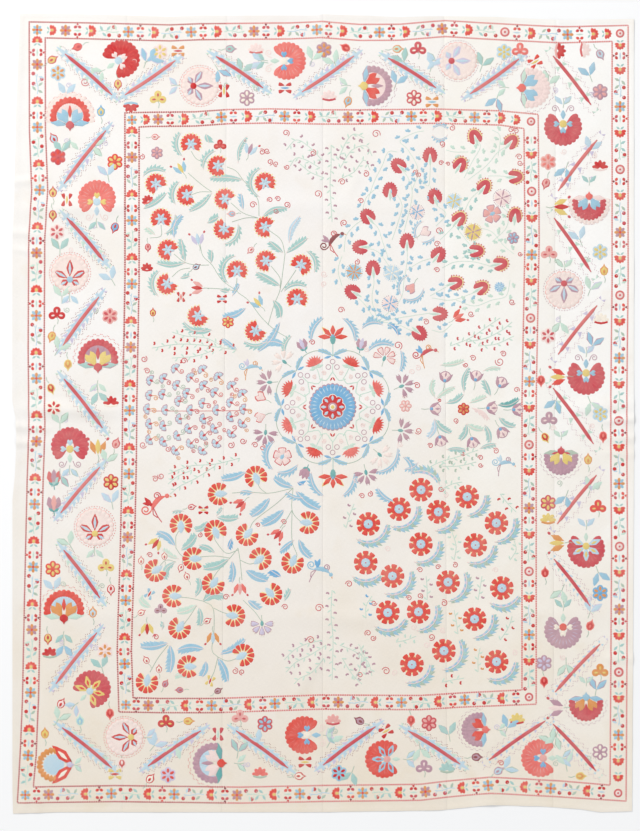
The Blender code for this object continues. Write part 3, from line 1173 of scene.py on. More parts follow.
def palmette(spot, dyes):
    """A scalloped arch over two petals, a drop and two leaves at its foot, and a halo of
    scallops where it has a dye for one."""
    arch, inside, petal, drop, leaf_dye, *halo_dye = dyes
    for dye in halo_dye:
        scallops(dye, spot, 17, 12.0, 25.6, -104.0, 208.0, 0, 0.94)
    ring_of(inside, "wedge", spot, 9, 7.4, 12.0, 3.6, 0, -92.0, 184.0)
    scallops(arch, spot, 15, 13.4, 20.6, -106.0, 212.0, 1, 0.86)
    ring_of(arch, "disc", spot, 21, 4.6, 4.6, 15.4, 1, -104.0, 208.0)
    patch(arch, "lance", spot, 4.4, 13.0, 0.0, -1.0, 0.0, 2)
    for hand in (-1.0, 1.0):
        patch(petal, "heart", spot, 11.8, 15.4, hand * 2.6, -5.8, hand * 32.0, 3)
        root = spot.inner(hand * 2.0, -8.0, hand * 80.0)
        plain_leaf(leaf_dye, root, 20.0, 7.6, "mauve")
        if leaf_dye in ("teal", "sage"):
            patch("crimson", "lance", spot, 2.6, 8.0, hand * 3.5, -6.8, hand * 76.0, 3)
    patch(drop, "drop", spot, 8.6, 9.0, 0.0, -4.0, 180.0, 4)
    halo = []
    for step in range(27):
        angle = math.radians(-102.0 + 204.0 * step / 26)
        reach = 22.6 if step % 2 else 25.6
        halo.append((reach * math.sin(angle), reach * math.cos(angle)))
    dots("rose" if spot.x < ROSE_HALOS_TO else "mauve", halo, 2.2, 1.2, spot)


def clasped_palmette(spot, dyes):
    """A palmette held between two cored petals that meet behind it."""
    arch, inside, petal, core, clasp = dyes
    patch(inside, "disc", spot, 27.0, 27.0)
    scallops(arch, spot, 12, 12.4, 20.6, -104.0, 208.0, 1, 0.86)
    foot = spot.inner(0.0, -22.0)
    for turn in (-43.0, 43.0):
        radial(petal, "lance", foot, turn, 0.0, 12.5, 33.0, 2)
        radial(core, "lance", foot, turn, 7.0, 5.4, 18.0, 3)
    patch(clasp, "drop", spot, 7.0, 8.0, 0.0, -15.0, 180.0, 4)


def stalk(kind, spot, number):
    """The stalk that a big flower hangs from, with a pair of pale leaves and a faint curl."""
    closed = kind in (palmette, clasped_palmette)
    foot = spot.inner(0.0, -21.0, 180.0) if closed else spot.inner(0.0, 19.0)
    stem("sage", ((0.0, 0.0), (0.8, 5.0), (0.0, 10.0)), 0.8, foot)
    dye = ("pale_green", "pale_blue", "teal", "pale_green", "pale_blue")[number % 5]
    for hand in (-1.0, 1.0):
        plain_leaf(dye, foot.inner(0.0, 3.0, hand * 44.0), 13.0, 6.2, "lilac" if number % 2 else "sage")
    curl("lilac", foot.inner(1.0, 9.0, 40.0), 2.4, 0.8, tail=1.0)


# Size of the smaller palmettes: the clasped one, and those at the right and below the top
SMALL_PALMETTE = 0.85
SMALL_FROM_X = 450.0
SMALL_FROM_Y = 150.0
# Kind, x, y, heading, dyes
BIG_FLOWERS = (
    (fan_flower, 121, 59, 236, "deep_red", "pale_blue", "pale_pink", "pale_green"),
    (star_disc, 200, 86, 270, "pale_pink", "mauve", "pale_blue", "deep_red"),
    (fan_flower, 287, 61, 270, "coral", "cream", "blue", "pale_green", "pale_pink"),
    (palmette, 372, 86, 90, "mauve", "pale_pink", "scarlet", "yellow", "sky"),
    (star_disc, 458, 61, 270, "pale_pink", "lilac", "pale_blue", "crimson"),
    (palmette, 530, 88, 90, "pale_pink", "pale_pink", "sky", "coral", "pale_green"),
    (fan_flower, 563, 127, 0, "crimson", "yellow", "sky", "sky", "mauve"),
    (palmette, 589, 203.5, 180, "crimson", "crimson", "sky", "coral", "pale_pink", "blush"),
    (star_disc, 564, 290, 0, "pale_pink", "mauve", "pale_blue", "crimson"),
    (fan_flower, 586, 376, 0, "crimson", "yellow", "sky", "sky", "mauve"),
    (palmette, 561, 458, 180, "mauve", "mauve", "yellow", "crimson", "sage"),
    (star_fan, 586, 549, 0, "crimson", "yellow", "pale_blue", "yellow"),
    (fan_flower, 563, 630, 0, "mauve", "scarlet", "cream", "pale_green"),
    (palmette, 586, 704, 180, "crimson", "crimson", "orange", "sky", "sky"),
    (fan_flower, 540, 758, 90, "coral", "pink", "blue", "pale_green"),
    (palmette, 478.5, 729.5, 270, "mauve", "mauve", "scarlet", "coral", "sky"),
    (star_fan, 384, 759, 90, "scarlet", "pink", "sky", "scarlet"),
    (fan_flower, 304, 735, 90, "scarlet", "cream", "blue", "sky", "pale_pink"),
    (palmette, 213, 763, 270, "mauve", "pale_blue", "pale_pink", "scarlet", "deep_teal"),
    (star_disc, 124.5, 737, 90, "pale_pink", "deep_red", "pale_blue", "yellow"),
    (clasped_palmette, 54, 764.5, 270, "orange", "pale_blue", "scarlet", "cream", "lilac"),
    (star_fan, 92, 689, 225, "crimson", "pale_blue", "yellow", "scarlet"),
    (palmette, 64, 610, 0, "scarlet", "pale_blue", "orange", "deep_red", "pale_green"),
    (star_disc, 95, 527, 180, "pale_pink", "deep_red", "pale_blue", "yellow"),
    (fan_flower, 70, 446, 180, "crimson", "yellow", "pale_blue", "pale_green", "mauve"),
    (palmette, 98, 359, 0, "crimson", "mauve", "yellow", "crimson", "teal"),
    (star_disc, 70, 273, 180, "pale_pink", "deep_red", "pale_blue", "sky"),
    (fan_flower, 97, 199, 180, "coral", "pale_blue", "yellow", "pale_blue", "pale_pink"),
    (palmette, 70, 117, 0, "scarlet", "pale_pink", "sky", "crimson", "sky", "blush"),
)


# Small motifs between the big ones


def rosette(spot, first, second):
    """Six petals on a lobed ground."""
    ring_of(second, "disc", spot, 6, 5.2, 5.2, 3.9)
    patch(second, "disc", spot, 8.0, 8.0)
    ring_of(first, "petal", spot, 6, 2.5, 4.4, 1.2, 1)
    patch("yellow" if second == "pale_blue" else second, "disc", spot, 2.4, 2.4, level=2)


def clover(spot, first, second):
    """Three round lobes on a short stalk, with a core."""
    for turn in (-98.0, 0.0, 98.0):
        radial(first, "disc", spot, turn, 3.6, 6.2, 6.2)
        radial(second, "petal", spot, turn, 1.2, 1.7, 3.6, 1)
    patch(first, "disc", spot, 5.0, 5.0)
    stem("sage", ((0.0, -1.0), (1.0, -4.0), (0.5, -7.0)), 0.7, spot)


def bud(spot, first, second):
    """A rimmed drop with a core and a short stem."""
    patch(second, "drop", spot, 7.0, 9.0, 0.0, -4.0)
    patch(first, "drop", spot, 5.4, 7.0, 0.0, -3.3, level=1)
    patch(second, "petal", spot, 2.2, 4.0, 0.0, -2.6, level=2)
    stem("sage", ((0.0, -4.0), (1.0, -6.5), (0.5, -9.0)), 0.7, spot)


def small_tulip(spot, first, second):
    """A tulip of two leaning petals and a middle one, with red tasselled tips."""
    for hand in (-1.0, 1.0):
        patch(first, "lance", spot, 5.4, 13.0, hand * 1.4, -5.5, hand * 22.0)
        patch("crimson", "petal", spot, 2.4, 3.4, hand * 6.4, 5.6, hand * 40.0)
    patch(second, "lance", spot, 4.6, 12.0, 0.0, -5.0, 0.0, 1)
    stem("sage", ((0.0, -5.0), (0.8, -8.0), (0.0, -11.0)), 0.7, spot)


def closed_tulip(spot, first, second):
    """A closed tulip in two tones on a green foot."""
    for hand in (-1.0, 1.0):
        patch(second, "lance", spot, 6.4, 12.0, hand * 1.6, -5.5, hand * 12.0)
        patch("deep_teal", "lance", spot, 2.4, 5.0, 0.0, -6.0, hand * 55.0, 1)
    patch(first, "lance", spot, 5.4, 12.5, 0.0, -5.5, 0.0, 1)
    stem("deep_teal", ((0.0, -5.0), (0.4, -9.0)), 0.9, spot)


def pale_tulip(spot, first, second):
    """A round pale tulip within a line of darker silk."""
    patch(second, "heart", spot, 12.4, 12.6, 0.0, -5.5)
    patch(first, "heart", spot, 10.4, 10.6, 0.0, -4.6, level=1)
    stem("sage", ((0.0, -5.5), (0.6, -9.0), (0.0, -12.0)), 0.8, spot)


def open_flower(spot, first, second):
    """Five broad pale petals within a line of darker silk, round an oval."""
    ring_of(second, "wedge", spot, 5, 9.4, 9.4, 0.6)
    ring_of(first, "wedge", spot, 5, 8.0, 8.4, 0.8, 1)
    patch("sky", "lance", spot, 4.4, 7.0, 0.0, -3.0, level=2)


def shell(spot, first, second):
    """A half-round shell of short petals on a rim."""
    ring_of(first, "petal", spot, 5, 3.6, 6.6, 0.0, 0, -100.0, 200.0)
    thread(second, smooth(((-5.0, -0.6), (0.0, -1.8), (5.0, -0.6))), 1.7, spot, 1)


def bow(spot, first, second):
    """Two bars side by side that flare at both ends."""
    for hand in (-1.0, 1.0):
        for end in (0.0, 180.0):
            flare = hand * 15.0 if end == 0.0 else -hand * 15.0
            patch(first, "wedge", spot, 3.2, 5.6, hand * 1.8, 0.0, end + flare)
    patch(second, "lance", spot, 2.0, 7.0, 0.0, -3.5, 0.0, 1)


def leaves(spot, first, second):
    """A pair of rimmed leaves that spread from one stalk."""
    rim = "lilac" if first in ("pale_green", "pale_blue") and second == "mauve" else second
    for hand in (-1.0, 1.0):
        plain_leaf(first, spot.inner(0.0, 0.0, hand * 36.0), 12.0, 6.0, rim)
    stem("sage", ((0.0, 1.0), (0.0, -5.0)), 0.7, spot)


SMALL_SCALE = 1.3
# Kind, x, y, heading, two dyes
SMALL_MOTIFS = (
    (bud, 78, 47, 250, "coral", "crimson"), (bud, 52, 60, 60, "yellow", "crimson"),
    (rosette, 58, 73, 0, "orange", "pale_blue"), (leaves, 66, 95, 5, "pale_blue", "mauve"),
    (bud, 118, 84, 180, "yellow", "crimson"), (rosette, 160, 52, 0, "yellow", "pale_pink"),
    (bow, 178, 51, 90, "orange", "crimson"), (leaves, 146, 62, 20, "sky", "lilac"),
    (shell, 131, 105, 180, "deep_red", "sky"), (clover, 158, 99, 0, "yellow", "crimson"),
    (bow, 224, 91, 0, "deep_red", "yellow"), (rosette, 247, 98, 0, "cream", "mauve"),
    (bud, 230, 49, 90, "teal", "mauve"), (shell, 256, 51, 0, "pale_pink", "rose"),
    (bow, 285, 88, 90, "deep_red", "blue"), (rosette, 324, 50, 0, "orange", "mauve"),
    (bud, 346, 48, 300, "deep_red", "coral"), (shell, 329, 98, 0, "pale_pink", "crimson"),
    (bud, 348, 101, 200, "sky", "orange"), (bud, 397, 49, 90, "pale_green", "orange"),
    (clover, 418, 50, 0, "crimson", "cream"), (rosette, 414, 98, 0, "cream", "crimson"),
    (bow, 432, 102, 90, "orange", "sky"), (rosette, 504, 52, 0, "yellow", "pale_blue"),
    (clover, 520, 51, 0, "coral", "pale_pink"), (shell, 558, 51, 90, "deep_red", "pink"),
    (bow, 535, 62, 60, "scarlet", "yellow"), (shell, 583, 50, 90, "pale_pink", "rose"),
    (bud, 600, 54, 150, "pale_blue", "mauve"), (rosette, 600, 92, 0, "pink", "mauve"),
    (bud, 101, 112, 0, "yellow", "blue"), (bud, 54, 139, 330, "pale_blue", "deep_red"),
    (rosette, 58, 157, 0, "scarlet", "crimson"), (rosette, 115, 162, 0, "yellow", "scarlet"),
    (bow, 67, 200, 0, "deep_red", "yellow"), (bud, 53, 193, 0, "yellow", "deep_red"),
    (bud, 53, 215, 180, "yellow", "deep_red"), (rosette, 57, 232, 0, "crimson", "pale_pink"),
    (bud, 115, 227, 200, "blue", "deep_red"), (clover, 57, 315, 0, "deep_red", "pale_pink"),
    (bud, 52, 336, 200, "yellow", "orange"), (rosette, 110, 316, 0, "crimson", "pink"),
    (bud, 68, 364, 180, "orange", "yellow"), (bud, 51, 388, 160, "deep_red", "yellow"),
    (rosette, 54, 408, 0, "deep_red", "cream"), (shell, 111, 404, 0, "deep_red", "cream"),
    (small_tulip, 98, 448, 0, "orange", "yellow"), (bud, 116, 444, 20, "pink", "crimson"),
    (closed_tulip, 54, 478, 0, "mauve", "rose"), (rosette, 111, 482, 0, "yellow", "deep_red"),
    (closed_tulip, 54, 504, 0, "pink", "mauve"), (rosette, 53, 569, 0, "yellow", "scarlet"),
    (clover, 106, 567, 0, "yellow", "deep_red"), (bud, 111, 589, 180, "pale_pink", "deep_red"),
    (bud, 93, 613, 0, "pale_blue", "orange"), (bud, 48, 638, 180, "yellow", "deep_red"),
    (shell, 50, 655, 0, "deep_red", "sage"), (rosette, 105, 651, 0, "orange", "pale_pink"),
    (bud, 61, 704, 30, "pale_pink", "deep_red"), (bud, 80, 721, 0, "sky", "pale_green"),
    (bud, 45, 734, 0, "yellow", "orange"), (bud, 110, 713, 180, "deep_red", "coral"),
    (clover, 166, 723, 0, "deep_red", "yellow"), (bud, 188, 721, 90, "yellow", "orange"),
    (clover, 240, 718, 0, "pink", "crimson"), (rosette, 265, 724, 0, "sky", "crimson"),
    (bow, 218, 734, 0, "crimson", "pale_green"), (bud, 122, 763, 180, "deep_red", "pale_pink"),
    (bow, 115, 774, 90, "yellow", "deep_red"), (bud, 150, 779, 40, "cream", "deep_red"),
    (rosette, 168, 775, 0, "scarlet", "lilac"), (shell, 260, 775, 0, "coral", "sage"),
    (bow, 305, 762, 90, "deep_red", "yellow"), (bud, 299, 776, 90, "cream", "deep_red"),
    (shell, 333, 722, 0, "pink", "crimson"), (bud, 360, 721, 300, "mauve", "maroon"),
    (rosette, 339, 773, 0, "deep_red", "sky"), (bow, 386, 731, 60, "deep_red", "yellow"),
    (bud, 411, 720, 180, "deep_red", "coral"), (rosette, 429, 723, 0, "pink", "crimson"),
    (leaves, 449, 735, 350, "teal", "mauve"), (clover, 424, 768, 0, "mauve", "pale_pink"),
    (shell, 447, 770, 0, "teal", "sage"), (bud, 476, 757, 90, "mauve", "maroon"),
    (shell, 517, 721, 0, "yellow", "deep_red"), (bud, 498, 771, 60, "pale_blue", "mauve"),
    (rosette, 548, 162, 0, "coral", "pink"), (shell, 600, 168, 0, "deep_red", "pale_pink"),
    (bud, 546, 183, 200, "pink", "crimson"), (small_tulip, 560, 207, 90, "yellow", "deep_red"),
    (clover, 549, 254, 0, "pink", "crimson"), (rosette, 600, 252, 0, "yellow", "pale_blue"),
    (bud, 604, 271, 0, "yellow", "orange"), (rosette, 548, 336, 0, "crimson", "pale_pink"),
    (shell, 601, 321, 0, "cream", "deep_red"), (small_tulip, 559, 377, 270, "scarlet", "yellow"),
    (bud, 541, 380, 180, "deep_red", "coral"), (clover, 549, 420, 0, "mauve", "pale_pink"),
    (rosette, 600, 414, 0, "yellow", "pale_blue"), (bud, 603, 436, 180, "deep_red", "coral"),
    (bud, 545, 437, 150, "deep_red", "yellow"), (bud, 588, 460, 0, "yellow", "orange"),
    (rosette, 548, 503, 0, "yellow", "crimson"), (clover, 598, 508, 0, "scarlet", "yellow"),
    (shell, 548, 521, 0, "yellow", "orange"), (small_tulip, 558, 543, 270, "orange", "yellow"),
    (bud, 545, 573, 0, "deep_red", "coral"), (rosette, 600, 593, 0, "orange", "blue"),
    (bud, 590, 626, 20, "deep_red", "coral"), (rosette, 544, 663, 0, "lilac", "mauve"),
    (bud, 544, 681, 180, "deep_red", "coral"), (clover, 600, 672, 0, "orange", "yellow"),
    (small_tulip, 557, 708, 270, "mauve", "pale_pink"), (rosette, 600, 752, 0, "cream", "mauve"),
    (bud, 580, 776, 90, "orange", "yellow"),
)
# Pairs of leaves between them: x, y, heading, leaf, rim
LEAF_PAIRS = (
    (62, 152, 0, "teal", "sage"), (150, 60, 60, "sky", "lilac"), (92, 146, 100, "pale_green", "sage"),
    (108, 176, 350, "pale_blue", "mauve"), (60, 250, 0, "teal", "sage"),
    (62, 297, 0, "pale_green", "mauve"), (112, 280, 330, "pale_blue", "mauve"),
    (58, 350, 30, "pale_green", "sage"), (98, 392, 170, "teal", "mauve"),
    (60, 424, 0, "pale_green", "sage"), (106, 462, 20, "pale_green", "sage"),
    (60, 475, 180, "teal", "mauve"), (112, 503, 350, "pale_blue", "mauve"),
    (70, 545, 330, "pale_green", "sage"), (54, 590, 350, "pale_blue", "mauve"),
    (64, 645, 180, "sky", "mauve"), (102, 668, 345, "teal", "sage"), (58, 720, 30, "pale_green", "sage"),
    (154, 746, 40, "pale_blue", "mauve"), (176, 745, 200, "pale_green", "sage"),
    (238, 752, 10, "teal", "mauve"), (258, 743, 330, "pale_blue", "sage"),
    (330, 742, 30, "pale_green", "mauve"), (352, 772, 200, "teal", "sage"),
    (420, 748, 170, "pale_green", "sage"), (507, 728, 20, "sky", "mauve"),
    (504, 769, 60, "pale_blue", "sage"), (566, 765, 350, "pale_green", "mauve"),
    (552, 742, 330, "pale_green", "sage"), (242, 72, 20, "teal", "sage"),
    (262, 62, 280, "pale_blue", "mauve"), (218, 70, 150, "sky", "mauve"),
    (312, 60, 20, "pale_green", "sage"), (335, 64, 330, "pale_green", "mauve"),
    (396, 84, 20, "sky", "mauve"), (404, 62, 330, "teal", "sage"), (432, 66, 20, "pale_blue", "mauve"),
    (482, 66, 20, "teal", "sage"), (497, 98, 200, "sky", "mauve"), (548, 84, 20, "pale_green", "sage"),
    (590, 76, 340, "sky", "mauve"), (590, 150, 20, "pale_blue", "mauve"), (566, 168, 200, "sky", "sage"),
    (580, 240, 340, "pale_blue", "mauve"), (590, 290, 20, "pale_green", "mauve"),
    (560, 322, 180, "pale_green", "sage"), (592, 346, 20, "sky", "mauve"),
    (590, 402, 160, "pale_green", "mauve"), (556, 400, 200, "sky", "sage"),
    (590, 490, 20, "pale_green", "mauve"), (566, 496, 200, "sky", "sage"), (598, 572, 160, "sky", "mauve"),
    (562, 590, 200, "pale_green", "sage"), (590, 612, 20, "pale_blue", "mauve"),
    (566, 664, 180, "pale_green", "sage"), (596, 690, 10, "sky", "mauve"),
    (556, 736, 200, "pale_green", "sage"),
)


# Upper left of the field: x, y, heading of each carnation, then the bearings between which a
# crescent leaf wraps it.
CARNATIONS = (
    (191, 144, 0, 215, 320), (218, 166, 275, 255, 350), (265, 183, 350, 200, 345),
    (156, 184, 325, 300, 400), (187, 195, 265, 230, 330), (225, 199, 300, 0, 0), (161, 219, 0, 70, 165),
    (224, 229, 215, 70, 180), (265, 227, 285, 0, 0), (168, 250, 305, 60, 120), (266, 261, 300, 0, 0),
    (301, 265, 40, 20, 120), (237, 271, 0, 215, 355), (167, 284, 230, 215, 330), (297, 299, 0, 300, 400),
    (198, 316, 235, 150, 250), (255.5, 331, 230, 120, 230),
)


def carnation(spot):
    """A red carnation with a yellow fringe and a pale-blue star, open behind."""
    ring_of("straw", "tooth", spot, 14, 3.0, 3.8, 8.6, 0, -140.0, 280.0)
    ring_of("scarlet", "petal", spot, 13, 3.8, 7.9, 2.8, 1, -137.0, 274.0)
    ring_of("pale_blue", "petal", spot, 6, 2.7, 6.4, 0.2, 2, -150.0, 360.0)
    patch("pale_blue", "disc", spot, 4.0, 4.6, 0.0, -1.5, level=2)
    patch("crimson", "knot", spot, 1.8, 1.8, 0.0, -3.0, level=3)


# Leaves of the left sprays: x and y of the root, x and y of the tip, width, bow, dye
SPRAY_LEAVES = (
    (206, 134, 209, 143, 7, 0, "teal"), (243, 180, 209, 178, 7, -2, "teal"),
    (238, 163, 247, 136, 4, 4, "teal"), (143, 209, 167, 193, 6, -2, "teal"),
    (212, 193, 189, 212, 6, 3, "teal"), (243, 210, 241, 193, 5, 0, "sky"),
    (207, 223, 219, 217, 7, 0, "teal"), (283, 253, 269, 241, 7, 0, "teal"),
    (286, 253, 308, 238, 7, 0, "teal"), (262, 217, 288, 208, 6, 4, "teal"),
    (185, 262, 181, 238, 6, 0, "teal"), (185, 263, 156, 263, 6, 3, "teal"),
    (280, 286, 256, 272, 8, 0, "teal"), (211, 263, 212, 250, 6, 0, "teal"),
    (232, 296, 240, 284, 4, 0, "sky"), (289, 243, 300, 216, 6, 4, "pale_blue"),
    (220, 290, 229, 292, 5, 0, "teal"), (174, 238, 182, 214, 7, 5, "sky"),
    (155, 235, 146, 227, 5, 0, "pale_green"), (180, 278, 190, 276, 5, 0, "teal"),
    (246, 308, 222, 318, 7, 3, "sky"), (280, 322, 258, 352, 7, 4, "sky"),
    (285, 345, 262, 343, 9, -3, "sky"), (212, 330, 190, 330, 7, 2, "teal"),
    (273, 300, 281, 318, 8, 3, "teal"), (237, 350, 222, 338, 5, 0, "sky"),
    (246, 472, 221, 480, 8, 2, "sky"), (293, 487, 273, 478, 8, 2, "sky"),
    (297, 482, 304, 485, 6, 0, "blue"), (296, 491, 320, 510, 10, -3, "sky"),
    (270, 498, 251, 517, 9, 2, "sky"), (284, 510, 262, 526, 10, 2, "sky"),
    (254, 493, 240, 491, 5, 0, "sky"), (232, 538, 228, 549, 5, 0, "blue"),
    (217, 517, 239, 518, 7, -2, "teal"), (208, 521, 195, 531, 7, 3, "teal"),
    (175, 546, 157, 531, 8, -3, "sky"), (181, 550, 197, 535, 9, -2, "teal"),
    (215, 553, 199, 545, 6, -2, "teal"), (229, 559, 203, 569, 9, 3, "teal"),
    (232, 561, 232, 583, 7, 2, "sky"), (246, 570, 268, 581, 10, -2, "sky"),
    (281, 577, 270, 570, 7, 0, "blue"), (294, 540, 279, 552, 6, 0, "sky"),
    (299, 539, 311, 559, 8, -3, "sky"), (175, 562, 164, 580, 7, -5, "teal"),
    (179, 559, 162, 549, 5, 2, "pale_green"), (195, 597, 199, 577, 6, -4, "teal"),
    (203, 601, 224, 595, 9, 4, "teal"), (197, 605, 177, 613, 8, 2, "pale_green"),
    (199, 607, 200, 626, 6, 2, "teal"), (151, 607, 139, 598, 8, 2, "pale_green"),
    (168, 643, 140, 647, 9, 2, "sky"), (170, 645, 170, 673, 9, 2, "sky"),
    (204, 649, 177, 650, 9, -3, "sky"), (220, 654, 246, 639, 7, -3, "sky"),
    (218, 658, 228, 682, 8, 2, "sky"), (206, 661, 202, 677, 7, 2, "sky"),
    (191, 678, 174, 676, 6, -4, "pale_green"), (248, 600, 260, 610, 7, 0, "sky"),
    (284, 601, 291, 589, 5, 0, "teal"), (162, 630, 164, 622, 4, 0, "teal"),
    (184, 511, 172, 511, 3, 0, "teal"), (216, 516, 223, 508, 3, 0, "teal"),
)
SPRAY_STEMS = (
    ((227, 167), (236, 171), (243, 180)), ((243, 180), (250, 188), (258, 200), (259, 216)),
    ((191, 151), (198, 160), (215, 163)), ((188, 173), (202, 185), (212, 192)),
    ((191, 195), (200, 192), (211, 192)), ((231, 203), (243, 213), (258, 218)),
    ((232, 222), (246, 218), (258, 218)), ((161, 225), (161, 236), (150, 238)),
    ((270, 231), (281, 240), (285, 254)), ((174, 254), (184, 262), (196, 265), (209, 265)),
    ((200, 244), (203, 256), (212, 265), (222, 280), (237, 291)), ((271, 266), (280, 278), (280, 288)),
    ((285, 254), (283, 270), (280, 290), (274, 305), (268, 325)), ((296, 270), (288, 282), (281, 292)),
    ((237, 278), (237, 291), (248, 300), (262, 318), (275, 330), (288, 338)),
    ((172, 277), (180, 270), (190, 268)), ((204, 288), (222, 289), (237, 291)),
    ((293, 488), (270, 493), (248, 492), (232, 493)), ((266, 493), (260, 488), (257, 482)),
    ((293, 488), (277, 503), (255, 520), (250, 528)), ((293, 488), (292, 510), (300, 521), (306, 523)),
    ((292, 510), (292, 540), (297, 555), (294, 560)), ((292, 510), (286, 520), (280, 528)),
    ((238, 548), (230, 558), (215, 575), (203, 601)), ((238, 548), (240, 560), (242, 580)),
    ((240, 560), (250, 564), (258, 561)), ((238, 550), (226, 553), (215, 540), (214, 536)),
    ((230, 558), (215, 556), (198, 557)), ((176, 548), (176, 536), (180, 530)),
    ((176, 548), (182, 556), (192, 558)), ((176, 562), (166, 560), (158, 568)),
    ((203, 601), (190, 598), (178, 597)), ((203, 601), (213, 608), (214, 630), (212, 650), (218, 657)),
    ((214, 608), (222, 612), (232, 615)), ((197, 605), (190, 616), (184, 624)),
    ((168, 645), (158, 658), (150, 672)), ((218, 657), (228, 661), (240, 657)),
    ((243, 600), (255, 612), (262, 622)), ((218, 657), (214, 672), (211, 678)),
)


def two_point_leaf(row):
    x, y, tip_x, tip_y, width, bow_by, dye = row
    length = math.hypot(tip_x - x, tip_y - y)
    spot = Spot(x, y, math.degrees(math.atan2(tip_x - x, y - tip_y)))
    out = 1.0 if bow_by > 0 else -1.0
    saw_leaf(dye, ((0.0, 0.0), (-bow_by * 0.8, length / 2.0), (0.0, length)), width, spot, out)


# Lower left: x, y, heading of each fan carnation
FAN_CARNATIONS = (
    (256, 477, 340), (219, 494, 265), (181, 525, 0), (215.4, 531, 340), (247, 534.7, 220), (308, 522.7, 95),
    (193.7, 558.6, 270), (155.5, 570.6, 235), (260.4, 558.6, 50), (292.6, 562.4, 200), (213.2, 584, 215),
    (173.5, 596, 270), (271, 594, 140), (234, 615.6, 95), (179.5, 628, 210), (188.4, 666.5, 270),
    (243, 655, 60), (147, 682, 190),
)


def fan_carnation(spot):
    """Nine red wedges edged with yellow round a pale-blue oval, open behind."""
    ring_of("straw", "wedge", spot, 9, 6.8, 7.6, 3.2, 0, -140.0, 280.0)
    ring_of("scarlet", "wedge", spot, 9, 5.0, 8.2, 3.7, 1, -140.0, 280.0)
    patch("pale_blue", "lance", spot, 7.4, 13.5, 0.0, -8.5, level=2)


# Lower right: x, y of each cog rosette, then the bearings between which its leaf curls
COGS = (
    (421, 489.8, 340, 435), (467, 496.7, 85, 180), (399, 509, 80, 205), (438.3, 511.8, 85, 190),
    (368.3, 524, 90, 220), (496.3, 523, 75, 185), (420.8, 544, 80, 200), (475.3, 545, 90, 205),
    (365.7, 562.7, 130, 225), (392.4, 576, 75, 205), (448, 582, 60, 180), (501.8, 588, 115, 220),
    (387.8, 612.3, 110, 225), (418.5, 611.7, 70, 185), (474.5, 619, 75, 185), (443.9, 650.7, 55, 185),
    (411.9, 664.4, 90, 200), (496.5, 661.6, 90, 210),
)


def cog_rosette(spot, number):
    """A red disc with square cogs round a pale-blue one."""
    start = 10.0 * number
    ring_of("straw", "wedge", spot, 9, 6.8, 7.4, 4.0, 0, start)
    ring_of("scarlet", "wedge", spot, 9, 6.1, 8.2, 4.2, 1, start)
    patch("scarlet", "disc", spot, 16.5, 16.5, level=1)
    patch("sky", "disc", spot, 10.0, 10.0, level=2)
    patch("pale_blue", "disc", spot, 8.2, 8.2, level=3)
    ring_of("pale_blue", "knot", spot, 7, 2.6, 2.6, 3.4, 3)
    patch("crimson", "knot", spot, 1.9, 1.9, level=4)


def feather_leaf(spot, start, end, radius):
    """A crescent leaf that wraps round a rosette, its outer side cut into slanting points."""
    points = spot.line(arc(radius, start, end))
    thread("teal", points, 6.4, shape="spindle", height=PATCH_RIM)
    barbs = even_spots(points, 3.3)[1:]
    for number, barb in enumerate(barbs):
        swell = math.sin(math.pi * (number + 1.5) / (len(barbs) + 2.0)) ** 0.7
        outer = ("teal", "sky", "sage", "sky")[number % 4]
        radial(outer, "tooth", barb, -136.0, 0.0, 5.4, 9.0 * swell, 1)
        radial("lilac" if number % 2 else "sky", "tooth", barb, 150.0, 0.0, 4.2, 6.2 * swell, 1)
    thread("pale_pink", points, 0.9, level=2)


# Upper right: x, y and heading of each horseshoe carnation
HORSESHOES = (
    (475, 137, 340), (511, 142, 40), (430, 156, 0), (399, 166, 310), (460, 165, 30), (515, 177, 85),
    (390, 191, 0), (484, 187, 35), (435, 197, 345), (368, 217, 320), (459, 219, 40), (515, 216, 5),
    (361, 247, 270), (407, 242, 0), (438, 255, 35), (476, 251, 85), (500, 264, 80), (373, 269, 355),
    (455, 283, 75), (353, 292, 300), (481, 288, 60), (439, 314, 90), (419, 333, 130),
)


# Horseshoe carnations to the right of this x have yellow edges
YELLOW_EDGES_FROM = 440.0


def horseshoe(spot):
    """A tall red carnation bent like a horseshoe, its edge toothed, on a pale stem."""
    bend = arc(4.2, -128.0, 128.0, 1.4)
    thread("crimson", bend * (1.0, 1.76) - (0.0, 1.8), 5.8, spot, 1, "bar")
    edge = bend[2:-2] * (1.55, 2.31) - (0.0, 1.8)
    yellow_edged = spot.x > YELLOW_EDGES_FROM
    if yellow_edged:
        thread("straw", edge, 2.8, spot)
    for place in even_spots(spot.line(edge), 2.3):
        patch("crimson", "tooth", place, 2.5, 2.5 if yellow_edged else 1.8, 0.0, 0.0, -90.0, 1)
    patch("pale_green", "lance", spot, 3.2, 13.0, 0.0, -11.0)


# Star discs: x, y, across, disc, spokes, how many spokes
STAR_DISCS = (
    (454, 201, 15, "pale_blue", "yellow", 6), (417, 212, 14, "pale_pink", "blue", 6),
    (502, 198, 17, "pale_pink", "mauve", 6), (473, 232, 17, "yellow", "mauve", 6),
    (354, 272, 16, "sky", "orange", 8), (392, 273, 16, "pale_blue", "cream", 6),
    (390, 303.5, 15, "pale_pink", "blue", 6), (499.5, 287, 9, "blue", "pale_blue", 8),
)


def star_of_spokes(row):
    x, y, across, disc, spokes, count = row
    spot = Spot(x, y, 12.0)
    patch(disc, "disc", spot, across, across)
    dots("mauve" if disc == "pale_pink" else disc, arc(across / 2.0 + 0.4, 0, 345), 1.9, 1.2, spot)
    ring_of(spokes, "lance", spot, count, 2.0, across / 2.0 + 0.6, 0.3, 1)
    patch(spokes, "knot", spot, 2.4, 2.4, level=2)


